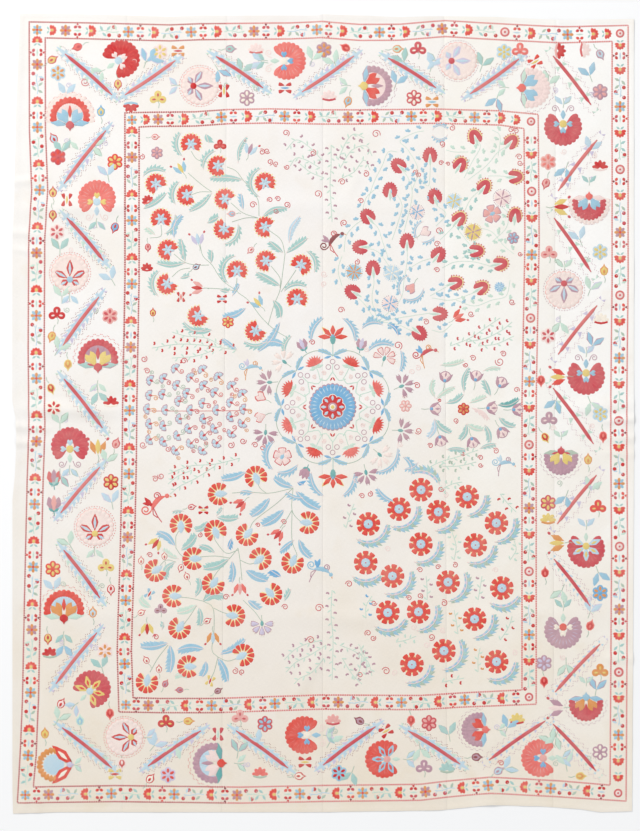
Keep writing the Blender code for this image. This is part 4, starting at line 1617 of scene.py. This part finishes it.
# Leafy vines of the upper right: dye of the leaves, then the vines' lines
VINES = (
    ("sky", (
        ((378, 322), (372, 300), (374, 282), (372, 272)), ((376, 322), (366, 306), (356, 296)),
        ((378, 322), (398, 318), (430, 313)), ((380, 322), (396, 324), (410, 330), (415, 331)),
        ((378, 322), (400, 300), (404, 280), (407, 262), (407, 248)),
        ((400, 290), (390, 268), (378, 252), (366, 248)), ((407, 270), (420, 262), (432, 258)),
        ((388, 258), (382, 240), (378, 228), (370, 220)),
        ((392, 240), (398, 222), (402, 206), (396, 194), (391, 198)),
        ((404, 232), (412, 196), (408, 178), (401, 169)),
        ((412, 190), (418, 170), (408, 150), (400, 141), (414, 133), (424, 131)),
        ((418, 176), (428, 186), (430, 172), (430, 160)),
        ((397, 152), (388, 152), (382, 166), (374, 182), (368, 200)),
        ((430, 186), (436, 204), (446, 214), (436, 226)),
    )),
    ("teal", (
        ((440, 240), (452, 228), (462, 216), (470, 200), (480, 190)),
        ((455, 226), (466, 240), (474, 252), (462, 258)), ((442, 268), (455, 262), (474, 262), (496, 268)),
    )),
    ("pale_green", (
        ((464, 178), (472, 162), (480, 148), (478, 140)), ((468, 180), (486, 166), (498, 152), (509, 145)),
        ((488, 176), (500, 176), (510, 177)), ((500, 206), (508, 214), (506, 228), (494, 240)),
        ((480, 228), (492, 232), (504, 246), (514, 254)),
    )),
    ("sky", (
        ((430, 296), (444, 288), (452, 284)), ((432, 298), (452, 300), (476, 292)),
    )),
    ("pale_green", (((456, 300), (474, 306), (492, 300), (506, 296), (510, 280)),)),
    ("sky", (
        ((342, 286), (338, 270), (342, 256)), ((344, 252), (346, 236), (354, 226), (362, 220)),
        ((362, 212), (366, 198), (374, 190)), ((432, 330), (442, 332), (452, 324)),
    )),
    ("pale_green", (
        ((446, 150), (454, 152), (468, 152)), ((492, 130), (500, 136), (498, 156)),
    )),
)


def ivy_leaf(dye, spot):
    for turn in (-62.0, 0.0, 62.0):
        radial(dye, "petal", spot, turn, -0.6, 2.5, 3.9)


def vine(dye, points):
    line = smooth(points)
    thread("pale_green", line, 0.6)
    for number, place in enumerate(even_spots(line, 5.2)[1:]):
        hand = 1.0 if number % 2 else -1.0
        ivy_leaf(dye, place.inner(hand * 3.6, 0.0, hand * 60.0))


# Pale little sprays: dye of the buds, then the stalks' lines
SPRIGS = (
    ("mauve", (
        ((322, 160), (308, 146), (296, 140), (286, 150)), ((320, 168), (306, 160), (296, 158), (290, 166)),
        ((324, 178), (310, 172), (300, 164)), ((338, 160), (346, 142), (354, 134), (364, 138)),
        ((340, 168), (352, 150), (366, 146), (372, 156)), ((342, 178), (354, 172), (364, 160), (370, 170)),
        ((331, 145), (331, 165), (330, 185), (331, 205), (332, 222)),
        ((332, 590), (331, 615), (333, 640), (332, 680)), ((326, 645), (310, 655), (296, 662), (286, 672)),
        ((324, 658), (312, 672), (300, 678), (294, 684)), ((322, 640), (306, 644), (294, 650), (284, 660)),
        ((340, 645), (356, 652), (368, 662), (372, 676)), ((342, 658), (352, 674), (362, 684)),
        ((354, 680), (360, 668), (362, 650), (358, 644)),
    )),
    ("deep_red", (
        ((236, 350), (210, 346), (180, 344), (152, 348)), ((222, 346), (206, 338), (186, 336), (172, 332)),
        ((214, 350), (196, 356), (172, 358)), ((240, 458), (215, 464), (190, 466), (168, 474)),
        ((215, 466), (196, 478), (180, 486), (170, 494)), ((192, 470), (178, 476), (168, 484)),
    )),
    ("crimson", (
        ((450, 346), (470, 338), (488, 326), (500, 318)), ((466, 342), (486, 338), (502, 330), (512, 322)),
        ((478, 346), (496, 344), (514, 336)),
    )),
    ("sage", (
        ((424, 470), (440, 462), (460, 456), (478, 450)), ((440, 466), (458, 466), (476, 462)),
    )),
    ("mauve", (
        ((427, 600), (427, 588), (426, 576)), ((478, 600), (480, 588), (482, 576)),
    )),
    ("orange", (((458, 634), (456, 620), (454, 610)),)),
    ("deep_red", (((500, 640), (508, 628), (512, 616)),)),
    ("orange", (((478, 672), (478, 658), (480, 648)),)),
    ("deep_red", (((442, 682), (452, 680), (464, 678)),)),
    ("blue", (((366, 618), (366, 606), (372, 596)),)),
    ("mauve", (
        ((366, 675), (366, 660), (360, 648)), ((346, 528), (350, 514), (354, 504)),
    )),
    ("deep_red", (((500, 494), (508, 504), (516, 512)),)),
    ("pale_green", (
        ((440, 490), (452, 484), (462, 482)), ((454, 560), (456, 546), (452, 532)),
        ((510, 560), (516, 550), (514, 540)), ((396, 642), (406, 640), (416, 636)),
    )),
)


def sprig(bud_dye, points):
    """A pale stalk with small leaves, and buds at its sides."""
    line = smooth(points)
    thread("pale_green", line, 0.9)
    for number, place in enumerate(even_spots(line, 6.4)):
        hand = 1.0 if number % 2 else -1.0
        radial("pale_green", "lance", place, hand * 48.0, 0.0, 1.9, 5.4)
        tip = place.inner(-hand * 4.2, 2.0)
        radial(bud_dye, "petal", tip, -28.0, 0.0, 2.1, 3.0)
        radial(bud_dye, "petal", tip, 38.0, 0.0, 1.9, 2.7)


# The shrub at the left: x and y of each of its little heart-shaped flowers
SHRUB = (
    (175, 368), (202, 369), (150, 380), (163, 378), (190, 377), (218, 376), (176, 385), (203, 385),
    (231, 385), (149, 395), (162, 394), (186, 393), (214, 392), (242, 393), (178, 401), (202, 403),
    (230, 402), (147, 409), (165, 410), (190, 410), (216, 410), (243, 409), (179, 419), (203, 419),
    (230, 417), (149, 424), (163, 426), (188, 429), (214, 429), (242, 424), (177, 436), (203, 436),
    (231, 434), (149, 440), (163, 442), (190, 444), (216, 444), (175, 451), (202, 451),
)


def shrub():
    thread("rose", smooth(((252, 410.5), (200, 411), (146, 411))), 0.8)
    for number, (x, y) in enumerate(SHRUB):
        bearing = math.degrees(math.atan2(x - 262.0, (411.0 - y) * 1.6))
        spot = Spot(x, y, bearing)
        for turn in (-66.0, 0.0, 66.0):
            patch("mauve", "wedge", spot, 5.8, 6.2, 0.0, -1.8, turn)
            patch("pale_blue", "wedge", spot, 4.4, 5.2, 0.0, -1.6, turn, 1)
        patch("crimson", "petal", spot, 2.7, 4.4, 0.0, -3.6, level=2)
        dye = ("rose", "orange", "sage", "crimson")[number % 4]
        hand = 1.0 if number % 2 else -1.0
        curl(dye, spot.inner(0.0, -3.0, 180.0 - hand * 14.0), 2.5, 0.9, hand=hand, tail=3.6)
        if number % 3:
            curl(dye, spot.inner(-hand * 5.4, 1.0, -hand * 24.0), 2.1, 0.8, hand=-hand, tail=1.0)


# Mauve tulips at the right: x, y, heading
TULIP_SIZE = 0.98
TULIPS = (
    (445.3, 377.3, 10), (476, 376.5, 10), (501.2, 383, 30), (434.9, 408.8, 90), (491.3, 408, 90),
    (517, 409.7, 90), (440.7, 440.3, 165), (472.6, 442, 165), (502, 432, 150),
)
TULIP_LEAVES = (
    (435, 398, 433, 378.5, 5, 4, "pale_green"), (436, 399, 455, 386.4, 5, 2, "pale_green"),
    (445.7, 403, 464, 394.3, 6, -3, "teal"), (464, 393, 469, 366.5, 5, 4, "teal"),
    (490.5, 396.4, 484, 379, 6, 0, "teal"), (497, 404.7, 520, 399, 6, -4, "deep_teal"),
    (434.5, 418.8, 428, 438.7, 6, 4, "pale_blue"), (434.5, 418.8, 451.5, 433.7, 6, -3, "teal"),
    (466.4, 423.7, 460, 441, 6, 3, "teal"), (466.4, 423.7, 484, 430.4, 6, -2, "pale_green"),
    (484.6, 424.6, 490.5, 442.8, 6, 2, "teal"), (498.7, 417, 515.7, 427.5, 6, -3, "teal"),
    (446.5, 449.5, 466.4, 449.9, 5, 1, "teal"), (479.7, 448.6, 496.3, 443.7, 5, 1, "teal"),
    (440, 365, 465, 361, 5, -2, "pale_green"), (483, 371, 501, 368, 4, 2, "pale_green"),
    (469, 403, 487, 397, 5, 0, "pale_green"), (472, 408, 489.6, 419.6, 5, 2, "pale_pink"),
)


def open_tulip(spot):
    """A pale round tulip held between two mauve petals."""
    patch("mauve", "disc", spot, 13.0, 12.4, 0.0, 0.6)
    patch("pale_pink", "disc", spot, 11.2, 10.6, 0.0, 0.8, level=1)
    for hand in (-1.0, 1.0):
        patch("mauve", "lance", spot, 3.8, 12.0, hand * 0.4, -5.6, hand * 34.0, 2)
    patch("mauve", "lance", spot, 2.6, 6.4, 0.0, -0.4, 0.0, 2)
    patch("blue", "disc", spot, 3.4, 3.4, 0.0, -3.4, level=3)
    stem("sage", ((0.0, -6.0), (0.5, -10.0), (0.0, -14.0)), 0.8, spot)


# The roundel in the middle

ROUNDEL = Spot(332.6, 407.0)


def lotus(spot):
    """Red petals that spread over a green foot."""
    for turn, length in ((0, 12.5), (47, 15), (-47, 15), (86, 15), (-86, 15)):
        radial("straw", "lance", spot, turn, 1.0, 6.0, length)
        radial("scarlet", "lance", spot, turn, 1.6, 5.2, length - 1.6, 1)
    patch("deep_teal", "petal", spot, 5.6, 11.0, 0.0, 4.0, 180.0, 2)
    patch("blue", "knot", spot, 3.0, 3.0, 0.0, 1.5, level=3)
    stem("teal", ((0.0, -6.0), (0.0, -19.0)), 1.0, spot)


def clove_pink(spot, dye, rim=None):
    """A five-petalled clove pink seen from the side, on its green calyx."""
    for turn in (-92.0, -46.0, 0.0, 46.0, 92.0):
        if rim:
            radial(rim, "wedge", spot, turn, 2.2, 6.6, 10.0)
        radial(dye, "wedge", spot, turn, 2.8, 5.0, 8.6, 1)
        petal = spot.inner(0.0, 0.0, turn)
        for hand in (-1.0, 1.0):
            patch("cream" if rim else dye, "tooth", petal, 1.2, 2.8, hand * 1.3, 10.0, 0.0, 2)
    patch("deep_teal", "petal", spot, 3.2, 6.0, 0.0, 2.6, 180.0, 2)
    stem("sage", ((0.0, -3.0), (0.5, -9.0)), 0.8, spot)


def roundel_disc(spot):
    """The blue disc with its scalloped edge, and the ring of eight lobes in it."""
    ring_of("mauve", "disc", spot, 32, 5.0, 5.0, 21.7)
    patch("blue", "round", spot, 44.0, 44.0, level=1)
    ring_of("blue", "disc", spot, 32, 4.5, 4.5, 20.9, 1)
    ring_of("pale_blue", "stitch", spot, 32, 1.5, 7.4, 18.6, 2, 5.6)
    ring_of("cream", "disc", spot, 8, 11.0, 11.0, 8.2, 2)
    ring_of("deep_red", "disc", spot, 8, 9.4, 9.4, 8.2, 3)
    patch("deep_red", "disc", spot, 17.0, 17.0, level=3)
    ring_of("pale_blue", "lance", spot, 8, 3.6, 6.8, 5.6, 4)
    patch("mauve", "disc", spot, 9.2, 9.2, level=5)
    patch("cream", "disc", spot, 6.6, 6.6, level=6)
    patch("yellow", "disc", spot, 4.2, 4.2, level=7)


def ringlet(spot, side, ahead):
    """A small ring of mauve silk."""
    thread("mauve", arc(2.4, 0.0, 360.0, 1.2, side, ahead), 0.8, spot)


# Half of an arc of the garland: across and along from the roundel's middle
GARLAND = ((19.6, 47.4), (13.5, 54.6), (7.0, 58.0), (0.0, 59.0))


def garland_arc(fan):
    """One arc of the garland: a thin line, with a slim leaf and a blue one at either end."""
    half = np.array(GARLAND)
    whole = np.vstack((half * (-1.0, 1.0), half[:-1][::-1]))
    thread("sage", smooth(whole, 2.0), 0.9, fan)
    for hand in (-1.0, 1.0):
        saw_leaf("sky", half[:3] * (hand, 1.0), 5.0, fan, hand, None, 0.62)
        patch("blue", "lance", fan, 3.2, 9.0, hand * 19.0, 47.4, -hand * 84.0)


def red_fan(fan, dye):
    """A red half carnation in the lattice, with its pale leaves and stalk."""
    for turn in (-70.0, -50.0, -33.0, -16.0, 0.0, 16.0, 33.0, 50.0, 70.0):
        patch(dye, "wedge", fan, 2.6, 8.6, 0.0, 44.8, turn, 1)
        patch(dye, "tooth", fan.inner(0.0, 44.8, turn), 2.0, 3.0, 0.0, 7.4, 0.0, 1)
    for turn in (-84.0, -45.0, 45.0, 84.0):
        patch("pale_green", "lance", fan, 3.4, 8.0, 0.0, 42.0, turn)
    stem("pale_green", ((0.0, 46.0), (0.0, 38.0), (-1.0, 30.0)), 1.0, fan)
    for hand in (-1.0, 1.0):
        curl("pale_pink", fan.inner(hand * 3.0, 36.0, hand * 60.0), 2.4, 0.8, hand=hand, tail=1.0)


def roundel():
    """The disc, the lattice round it with its red fans, and a garland of eight arcs."""
    roundel_disc(ROUNDEL)
    for step in range(8):
        lobe = ROUNDEL.inner(0.0, 0.0, 45.0 * step)
        for hand in (-1.0, 1.0):
            radial("deep_red", "lance", lobe.inner(0.0, 30.2), 180.0 + 30.0 * hand, 0.0, 2.0, 5.2)
            lattice = ((hand * 13.0, 28.0), (hand * 6.5, 26.5), (hand * 2.6, 31.5), (0.0, 35.0))
            stem("pale_green", lattice, 1.2, lobe)
            ringlet(lobe, hand * 4.3, 40.0)
            curl("pale_pink", lobe.inner(hand * 7.0, 33.0, hand * 100.0), 2.0, 0.8, hand=-hand, tail=1.0)
        ringlet(lobe, 0.0, 45.4)
        stem("pale_green", ((0.0, 35.0), (0.0, 43.0)), 1.0, lobe)
        fan = ROUNDEL.inner(0.0, 0.0, 45.0 * step + 22.5)
        garland_arc(fan)
        red_fan(fan, "coral" if step % 2 else "scarlet")
    lotus(Spot(332.8, 337.5))
    lotus(Spot(333, 476.0, 180))


# Flowers round the roundel: kind of flower, x, y, heading, dye, rim
AROUND = (
    (clove_pink, 384.4, 358, 20, "pale_pink", "crimson"), (clove_pink, 269, 382.3, 270, "mauve", None),
    (clove_pink, 265.5, 433, 185, "mauve", None), (clove_pink, 366, 473, 170, "mauve", None),
    (clove_pink, 402, 386, 70, "mauve", None), (clove_pink, 401, 430.5, 95, "mauve", None),
    (clove_pink, 284, 361.5, 310, "blush", None), (clove_pink, 380, 455, 135, "blush", None),
)
# Crescent leaves: x, y, radius, start and end bearing, width, dye
ARCS = (
    (383, 360, 17, 300, 400, 6, "sky"), (383, 360, 20, 60, 125, 5, "sky"),
    (283, 456, 17, 215, 330, 6, "sky"), (283, 456, 17, 120, 200, 6, "sky"),
    (378, 452, 20, 75, 190, 5, "sky"), (333, 338, 22, 260, 335, 6, "sky"),
    (333, 338, 22, 25, 100, 6, "sky"), (333, 476, 22, 80, 155, 6, "sky"),
    (333, 476, 22, 205, 280, 6, "sky"), (374, 336, 14, 300, 400, 6, "sky"),
    (386, 336, 12, 10, 90, 5, "blue"), (425, 232, 10.5, 225, 350, 3.6, "sky"),
    (425, 232, 10.5, 110, 200, 3.6, "sky"), (411, 288, 12.5, 230, 350, 3.0, "sky"),
    (411, 288, 12.5, 90, 215, 4.4, "sky"), (440, 133, 8, 290, 430, 3.0, "sky"),
    (440, 132, 8, 110, 250, 3.0, "sky"), (300, 350, 16, 250, 330, 5, "teal"),
    (398, 480, 22, 190, 250, 6, "sky"), (398, 470, 14, 20, 110, 6, "sky"),
    (406, 455, 14, 120, 190, 4, "sky"), (300, 480, 18, 170, 230, 5, "sky"),
)
# Curls in crimson silk: x, y, radius, heading, hand
CURLS = (
    (262, 152, 3.2, 60, 1), (267, 151, 3, 200, 1), (270, 162, 3.2, 90, -1), (276, 164, 2.8, 250, 1),
    (253, 205, 3.6, 0, -1), (270, 200, 3, 330, 1), (278, 199, 3, 0, 1), (287, 205, 3.4, 60, -1),
    (276, 211, 2.8, 180, 1), (286, 133, 3.6, 60, -1), (313, 153, 3.4, 90, 1), (318, 194, 4.2, 60, -1),
    (287, 167, 2.8, 200, -1), (312.4, 342.4, 3, 0, 1), (398, 345.5, 4.4, 60, -1), (262.4, 447.6, 3, 90, 1),
    (452, 128, 3.2, 80, 1), (442, 144, 3.2, 100, -1), (441, 163, 2.6, 0, -1), (448, 164, 2.2, 0, 1),
    (415, 172, 2.8, 120, 1), (419, 175, 2.6, 300, 1), (361, 201, 3, 0, 1), (344, 223, 3.6, 300, 1),
    (376, 134, 4.4, 20, -1), (366, 174, 3.4, 60, 1), (342, 182, 3.6, 0, 1), (439, 231, 3.6, 10, -1),
    (437, 244, 3.2, 0, -1), (437, 270, 3, 0, 1), (357, 262, 3, 90, 1), (341, 310, 3.4, 20, -1),
    (426, 322, 3.2, 40, 1), (471, 314, 3.2, 200, 1), (512, 302, 3.2, 200, 1), (511, 130, 3, 0, -1),
    (516, 131, 3, 0, 1), (519, 157, 3.4, 0, 1), (520, 163, 3, 180, 1), (520, 254, 2.4, 180, 1),
    (360, 675, 3, 0, 1), (155, 479, 3.2, 40, 1), (161, 476, 3.4, 200, -1), (284, 522, 3, 0, 1),
    (258, 525, 2.4, 0, 1), (200, 535, 2.6, 90, 1), (150, 555, 3, 0, 1), (226, 597, 3.2, 0, -1),
    (285, 607, 3.2, 0, 1), (319, 608, 4.4, 0, -1), (156, 637, 3.2, 0, 1), (235, 671, 3.4, 90, 1),
    (242, 672, 3, 270, 1), (310.6, 640, 4, 0, 1), (441, 489, 3, 180, 1), (349, 584, 3.6, 0, 1),
    (420, 570, 3, 0, 1), (438, 567, 2.8, 0, -1), (455, 565, 3, 60, 1), (374, 603, 3, 180, 1),
    (409, 598, 3, 0, 1), (420, 596, 3, 60, -1), (444, 603, 3.6, 60, 1), (368, 633, 3.4, 320, 1),
    (373, 638, 3, 140, 1), (431.5, 637, 3.6, 120, -1), (386, 671, 4.2, 20, 1), (362, 496, 3, 0, 1),
    (370, 494, 3, 90, 1), (144, 359, 3.4, 120, 1), (147, 371, 3.2, 20, 1), (184, 361, 3.4, 20, -1),
    (143, 445, 3.6, 200, 1), (231, 445, 3.6, 120, 1), (243, 441, 3.4, 160, 1), (255, 445, 3.2, 0, 1),
    (168, 449, 3, 120, 1), (142, 157, 3, 90, 1), (85, 82, 4.4, 200, 1), (501, 763, 3.2, 0, 1),
    (473, 358.2, 3.2, 20, 1), (465.6, 364.9, 2.6, 200, -1), (503.3, 354, 3.2, 20, 1),
    (499.6, 361.6, 4.6, 200, -1), (439.5, 400.5, 1.8, 0, 1), (455.6, 420.8, 2.8, 90, -1),
    (516.6, 389.8, 3, 30, -1), (430.3, 445.7, 2.8, 20, 1), (462.7, 453.6, 2.4, 200, 1),
    (495.8, 451, 3.2, 40, 1), (480.5, 457.7, 2.8, 0, 1), (480.5, 465.2, 2.5, 180, 1),
    (417, 385.6, 3.4, 30, 1), (418.3, 430.8, 3.6, 150, -1),
)
# Faint curls in pale pink
PALE_CURLS = (
    (387.7, 549, 3), (445.6, 495, 3), (426.6, 644.6, 3.2), (442.7, 630, 3), (395, 672.5, 3),
    (495.5, 570, 3), (514.6, 652.7, 3), (413.4, 627, 3), (324, 274, 3.4), (324, 284, 3), (412, 372, 3),
    (418, 368, 3), (404, 396, 2.6), (400, 444, 3), (356, 480, 2.8), (296, 438, 2.6), (366, 350, 2.6),
)
# Other small motifs of the field: kind, x, y, heading, dyes
FIELD_MOTIFS = (
    (bud, 155, 137, 90, "pale_pink", "rose"), (rosette, 157, 153, 0, "pink", "mauve"),
    (clover, 220, 146, 0, "deep_red", "coral"), (small_tulip, 250, 150, 20, "pale_blue", "mauve"),
    (small_tulip, 181, 169, 330, "sky", "yellow"), (shell, 148, 201, 330, "deep_red", "coral"),
    (bud, 232, 214, 270, "sky", "pink"), (small_tulip, 198, 240, 350, "lilac", "pale_blue"),
    (bud, 148, 247, 180, "pink", "crimson"), (shell, 147, 269, 0, "deep_red", "deep_red"),
    (bud, 196, 267, 60, "pale_blue", "maroon"), (small_tulip, 198, 288, 275, "pink", "deep_red"),
    (bow, 181, 297, 0, "deep_red", "coral"), (bud, 251, 250, 225, "pale_pink", "crimson"),
    (bow, 222, 299, 90, "deep_red", "sky"), (small_tulip, 258, 303, 320, "sky", "yellow"),
    (bud, 153, 313, 0, "yellow", "deep_red"), (rosette, 228, 322, 0, "yellow", "scarlet"),
    (small_tulip, 240.9, 504, 230, "coral", "deep_red"), (bow, 203.4, 510, 90, "deep_red", "yellow"),
    (bud, 191.4, 507, 80, "pale_pink", "crimson"), (small_tulip, 156.2, 543, 215, "yellow", "deep_red"),
    (small_tulip, 278.3, 534, 220, "coral", "deep_red"), (small_tulip, 240, 588, 180, "coral", "pink"),
    (small_tulip, 147.2, 628, 180, "yellow", "deep_red"),
    (small_tulip, 213, 637, 180, "orange", "pale_blue"), (bow, 149.5, 594, 30, "sky", "deep_red"),
    (clover, 160.7, 610, 0, "mauve", "maroon"), (clove_pink, 262, 624, 180, "lilac", "mauve"),
    (bow, 210.2, 680.8, 20, "yellow", "deep_red"), (bud, 141.2, 561, 0, "cream", "rose"),
    (bud, 164.5, 556.4, 0, "cream", "crimson"), (bud, 181, 567.6, 200, "cream", "crimson"),
    (bud, 187, 576.6, 340, "cream", "crimson"), (bud, 141.2, 612.6, 60, "cream", "rose"),
    (bud, 207, 621, 60, "cream", "crimson"), (bud, 146.5, 660.5, 330, "cream", "crimson"),
    (bud, 159, 669.5, 0, "cream", "crimson"), (bud, 165.2, 684, 30, "mauve", "crimson"),
    (bud, 180, 690, 270, "mauve", "crimson"), (bud, 217.7, 691, 60, "mauve", "maroon"),
    (pale_tulip, 425, 232, 60, "pale_pink", "mauve"), (pale_tulip, 411, 288, 215, "pink", "mauve"),
    (open_flower, 492, 214, 60, "pink", "mauve"), (small_tulip, 458, 317, 60, "scarlet", "coral"),
    (rosette, 513, 238, 20, "sky", "mauve"), (closed_tulip, 302.4, 345, 335, "lilac", "mauve"),
    (closed_tulip, 361.3, 344.5, 15, "lilac", "mauve"), (closed_tulip, 305, 472.8, 205, "mauve", "mauve"),
    (pale_tulip, 261, 397, 300, "pale_pink", "rose"), (pale_tulip, 260.3, 417, 250, "pale_pink", "rose"),
    (rosette, 405.5, 406, 90, "pale_pink", "pink"),
    (open_flower, 282.4, 456.5, 215, "pale_pink", "crimson"),
    (rosette, 463.5, 409, 0, "orange", "deep_red"),
)


def bird(spot, body, wing, legs):
    """A little bird or beast of the border kind, seen from the side, in curling stitches."""
    stem(body, ((0.0, -6.0), (0.6, 0.0), (3.0, 5.0), (6.5, 7.5)), 4.6, spot, 0, "spindle")
    patch(wing, "lance", spot, 3.6, 9.0, 0.0, -3.0, -60.0, 1)
    patch(wing, "lance", spot, 3.2, 8.0, 0.0, -1.0, -105.0, 1)
    patch(body, "knot", spot, 3.6, 3.6, 7.0, 8.0, level=1)
    patch("orange", "tooth", spot, 1.6, 3.2, 8.0, 8.4, 90.0)
    for hand in (-1.0, 1.0):
        stem(legs, ((0.5, -3.0), (4.0 + hand * 1.6, -8.0), (8.0 + hand * 2.0, -10.0 - hand)), 0.9, spot)
    curl(body, spot.inner(0.0, -6.0, 200.0), 3.4, 1.2, tail=2.0)
    curl(legs, spot.inner(3.0, 6.0, -30.0), 2.6, 1.0, hand=-1.0, tail=1.0)


# Birds and beasts: x, y, heading, size, body, wing, legs
BIRDS = (
    (250, 366, 60, 1.0, "sky", "lilac", "orange"), (331, 240, 20, 1.2, "maroon", "mauve", "crimson"),
    (424, 352, 40, 1.1, "crimson", "blue", "orange"), (154, 503, 20, 1.4, "coral", "deep_red", "crimson"),
    (503, 462, 60, 1.0, "sky", "pale_blue", "mauve"), (320, 568, 80, 1.2, "sky", "blue", "mauve"),
)


# Dyes of the faint curls in the main border
FAINT = ("lilac", "pale_pink", "sage")


def draw_border():
    """The main border: its leaves, big flowers, faint curls and small motifs."""
    for number, row in enumerate(RIBS):
        border_leaf(row, number)
    for number, (kind, x, y, turn, *dyes) in enumerate(BIG_FLOWERS):
        small = kind is clasped_palmette or (kind is palmette and x > SMALL_FROM_X and y > SMALL_FROM_Y)
        spot = Spot(x, y, turn, SMALL_PALMETTE if small else 1.0)
        stalk(kind, spot, number)
        kind(spot, dyes)
    for number, (start_x, start_y, end_x, end_y) in enumerate(RIBS):
        middle = Spot((start_x + end_x) / 2.0, (start_y + end_y) / 2.0)
        for hand in (-1.0, 1.0):
            place = middle.inner(hand * 17.0, 13.0 if number % 2 else -13.0)
            curl(FAINT[number % 3], place.inner(0.0, 0.0, 70.0 * number), 2.8, 0.8, hand=hand, tail=2.0)
    for kind, x, y, turn, first, second in SMALL_MOTIFS:
        kind(Spot(x, y, turn, SMALL_SCALE), first, second)
    for x, y, turn, first, second in LEAF_PAIRS:
        leaves(Spot(x, y, turn, SMALL_SCALE), first, second)


def draw_left_sprays():
    for row in SPRAY_LEAVES:
        two_point_leaf(row)
    for points in SPRAY_STEMS:
        stem("sage", points, 0.8)
    for x, y, turn, start, end in CARNATIONS:
        carnation(Spot(x, y, turn))
        if end > start:
            crescent("teal", Spot(x, y), 15.0, start, end, 5.5)
    for x, y, turn in FAN_CARNATIONS:
        fan_carnation(Spot(x, y, turn))


def crescent(dye, spot, radius, start, end, width):
    """A saw-edged leaf bent round a spot, its teeth outwards."""
    saw_leaf(dye, arc(radius, start, end), width, spot, -1.0)


def draw_right_sprays():
    for number, (x, y, start, end) in enumerate(COGS):
        cog_rosette(Spot(x, y), number)
        feather_leaf(Spot(x, y), start, end, 19.0)
    for dye, lines in VINES:
        for points in lines:
            vine(dye, points)
    for x, y, turn in HORSESHOES:
        horseshoe(Spot(x, y, turn))
    for row in STAR_DISCS:
        star_of_spokes(row)


def draw_middle():
    """The sprigs, shrub and tulips, the roundel, and what is scattered over the field."""
    for dye, lines in SPRIGS:
        for points in lines:
            sprig(dye, points)
    shrub()
    for row in TULIP_LEAVES:
        two_point_leaf(row)
    for x, y, turn in TULIPS:
        open_tulip(Spot(x, y, turn, TULIP_SIZE))
    roundel()
    for kind, x, y, turn, first, second in AROUND + FIELD_MOTIFS:
        kind(Spot(x, y, turn), first, second)
    for x, y, radius, start, end, width, dye in ARCS:
        crescent(dye, Spot(x, y), radius, start, end, width)
    for x, y, radius, turn, hand in CURLS:
        stitched_curl("crimson", x, y, radius, turn, hand)
    for number, (x, y, radius) in enumerate(PALE_CURLS):
        stitched_curl("pale_pink", x, y, radius, 70.0 * number)
    for x, y, turn, size, body, wing, legs in BIRDS:
        bird(Spot(x, y, turn, size), body, wing, legs)


# Floor, light and camera, in metres, watts and millimetres of lens

FLOOR_SIZE = 60.0
FLOOR_LEVEL = -0.0002
# Name, place, size, power, colour
LIGHTS = (
    ("window", (-5.2, 5.8, 6.4), 3.6, 620.0, (1.0, 0.985, 0.96)),
    ("fill", (4.5, -3.5, 5.5), 4.0, 90.0, (0.96, 0.98, 1.0)),
)
FRAME_ACROSS = 640
FRAME_DOWN = 831
LENS = 85.0
SENSOR = 36.0


def make_floor():
    """A plain pale floor, far wider than the cloth."""
    bpy.ops.object.select_all(action="DESELECT")
    bpy.ops.mesh.primitive_plane_add(size=FLOOR_SIZE, location=(0.0, 0.0, FLOOR_LEVEL))
    floor = bpy.context.active_object
    floor.name = "floor"
    material = bpy.data.materials.new("pale floor")
    material.use_nodes = True
    shader = material.node_tree.nodes["Principled BSDF"]
    fill(shader, Base_Color=(0.93, 0.93, 0.935, 1.0), Roughness=0.9, Specular_IOR_Level=0.1)
    floor.data.materials.append(material)


def area_light(name, place, size, power, colour):
    light = bpy.data.lights.new(name, "AREA")
    light.shape = "SQUARE"
    light.size = size
    light.energy = power
    light.color = colour
    lamp = bpy.data.objects.new(name, light)
    bpy.context.scene.collection.objects.link(lamp)
    lamp.location = place
    heading = math.atan2(place[1], place[0])
    tilt = math.atan2(math.hypot(place[0], place[1]), place[2])
    lamp.rotation_euler = (0.0, tilt, heading)


def make_light():
    world = bpy.data.worlds.new("soft studio")
    world.use_nodes = True
    back = world.node_tree.nodes["Background"]
    fill(back, Color=(0.97, 0.985, 1.0, 1.0), Strength=0.60)
    bpy.context.scene.world = world
    for light in LIGHTS:
        area_light(*light)
    bpy.context.scene.view_settings.view_transform = "Standard"


def make_camera():
    """Straight above the cloth, with the drawing's own frame filling the picture."""
    across = (FRAME_ACROSS / 2.0 - MIDDLE_X) * UNIT
    along = (MIDDLE_Y - FRAME_DOWN / 2.0) * UNIT
    camera = bpy.data.cameras.new("camera")
    camera.lens = LENS
    camera.sensor_width = SENSOR
    eye = bpy.data.objects.new("camera", camera)
    bpy.context.scene.collection.objects.link(eye)
    eye.location = (across, along, LENS / SENSOR * FRAME_DOWN * UNIT)
    bpy.context.scene.camera = eye


def make_cloth():
    weave = make_weave_group()
    rows = row_stations()
    return [make_strip(number, rows, weave) for number in range(STRIPS)]


def draw_pattern():
    """Works the whole pattern into the skeins, the borders first."""
    narrow_border(OUTER_BORDER)
    narrow_border(INNER_BORDER)
    draw_border()
    draw_left_sprays()
    draw_right_sprays()
    draw_middle()


def make_embroidery():
    """Turns each skein into a piece that rides on the cloth."""
    laid = make_silk_group()
    pieces = []
    for dye, skein in skeins.items():
        if not skein.count:
            continue
        piece = skein.piece(f"embroidery_{dye}")
        piece.data.materials.append(silk(dye, laid))
        piece.data.shade_smooth()
        piece.data.set_sharp_from_angle(angle=math.radians(SILK_CREASE))
        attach(piece, "root")
        pieces.append(piece)
    return pieces


make_camera()
strips = make_cloth()
draw_pattern()
embroidery = make_embroidery()
make_floor()
make_light()
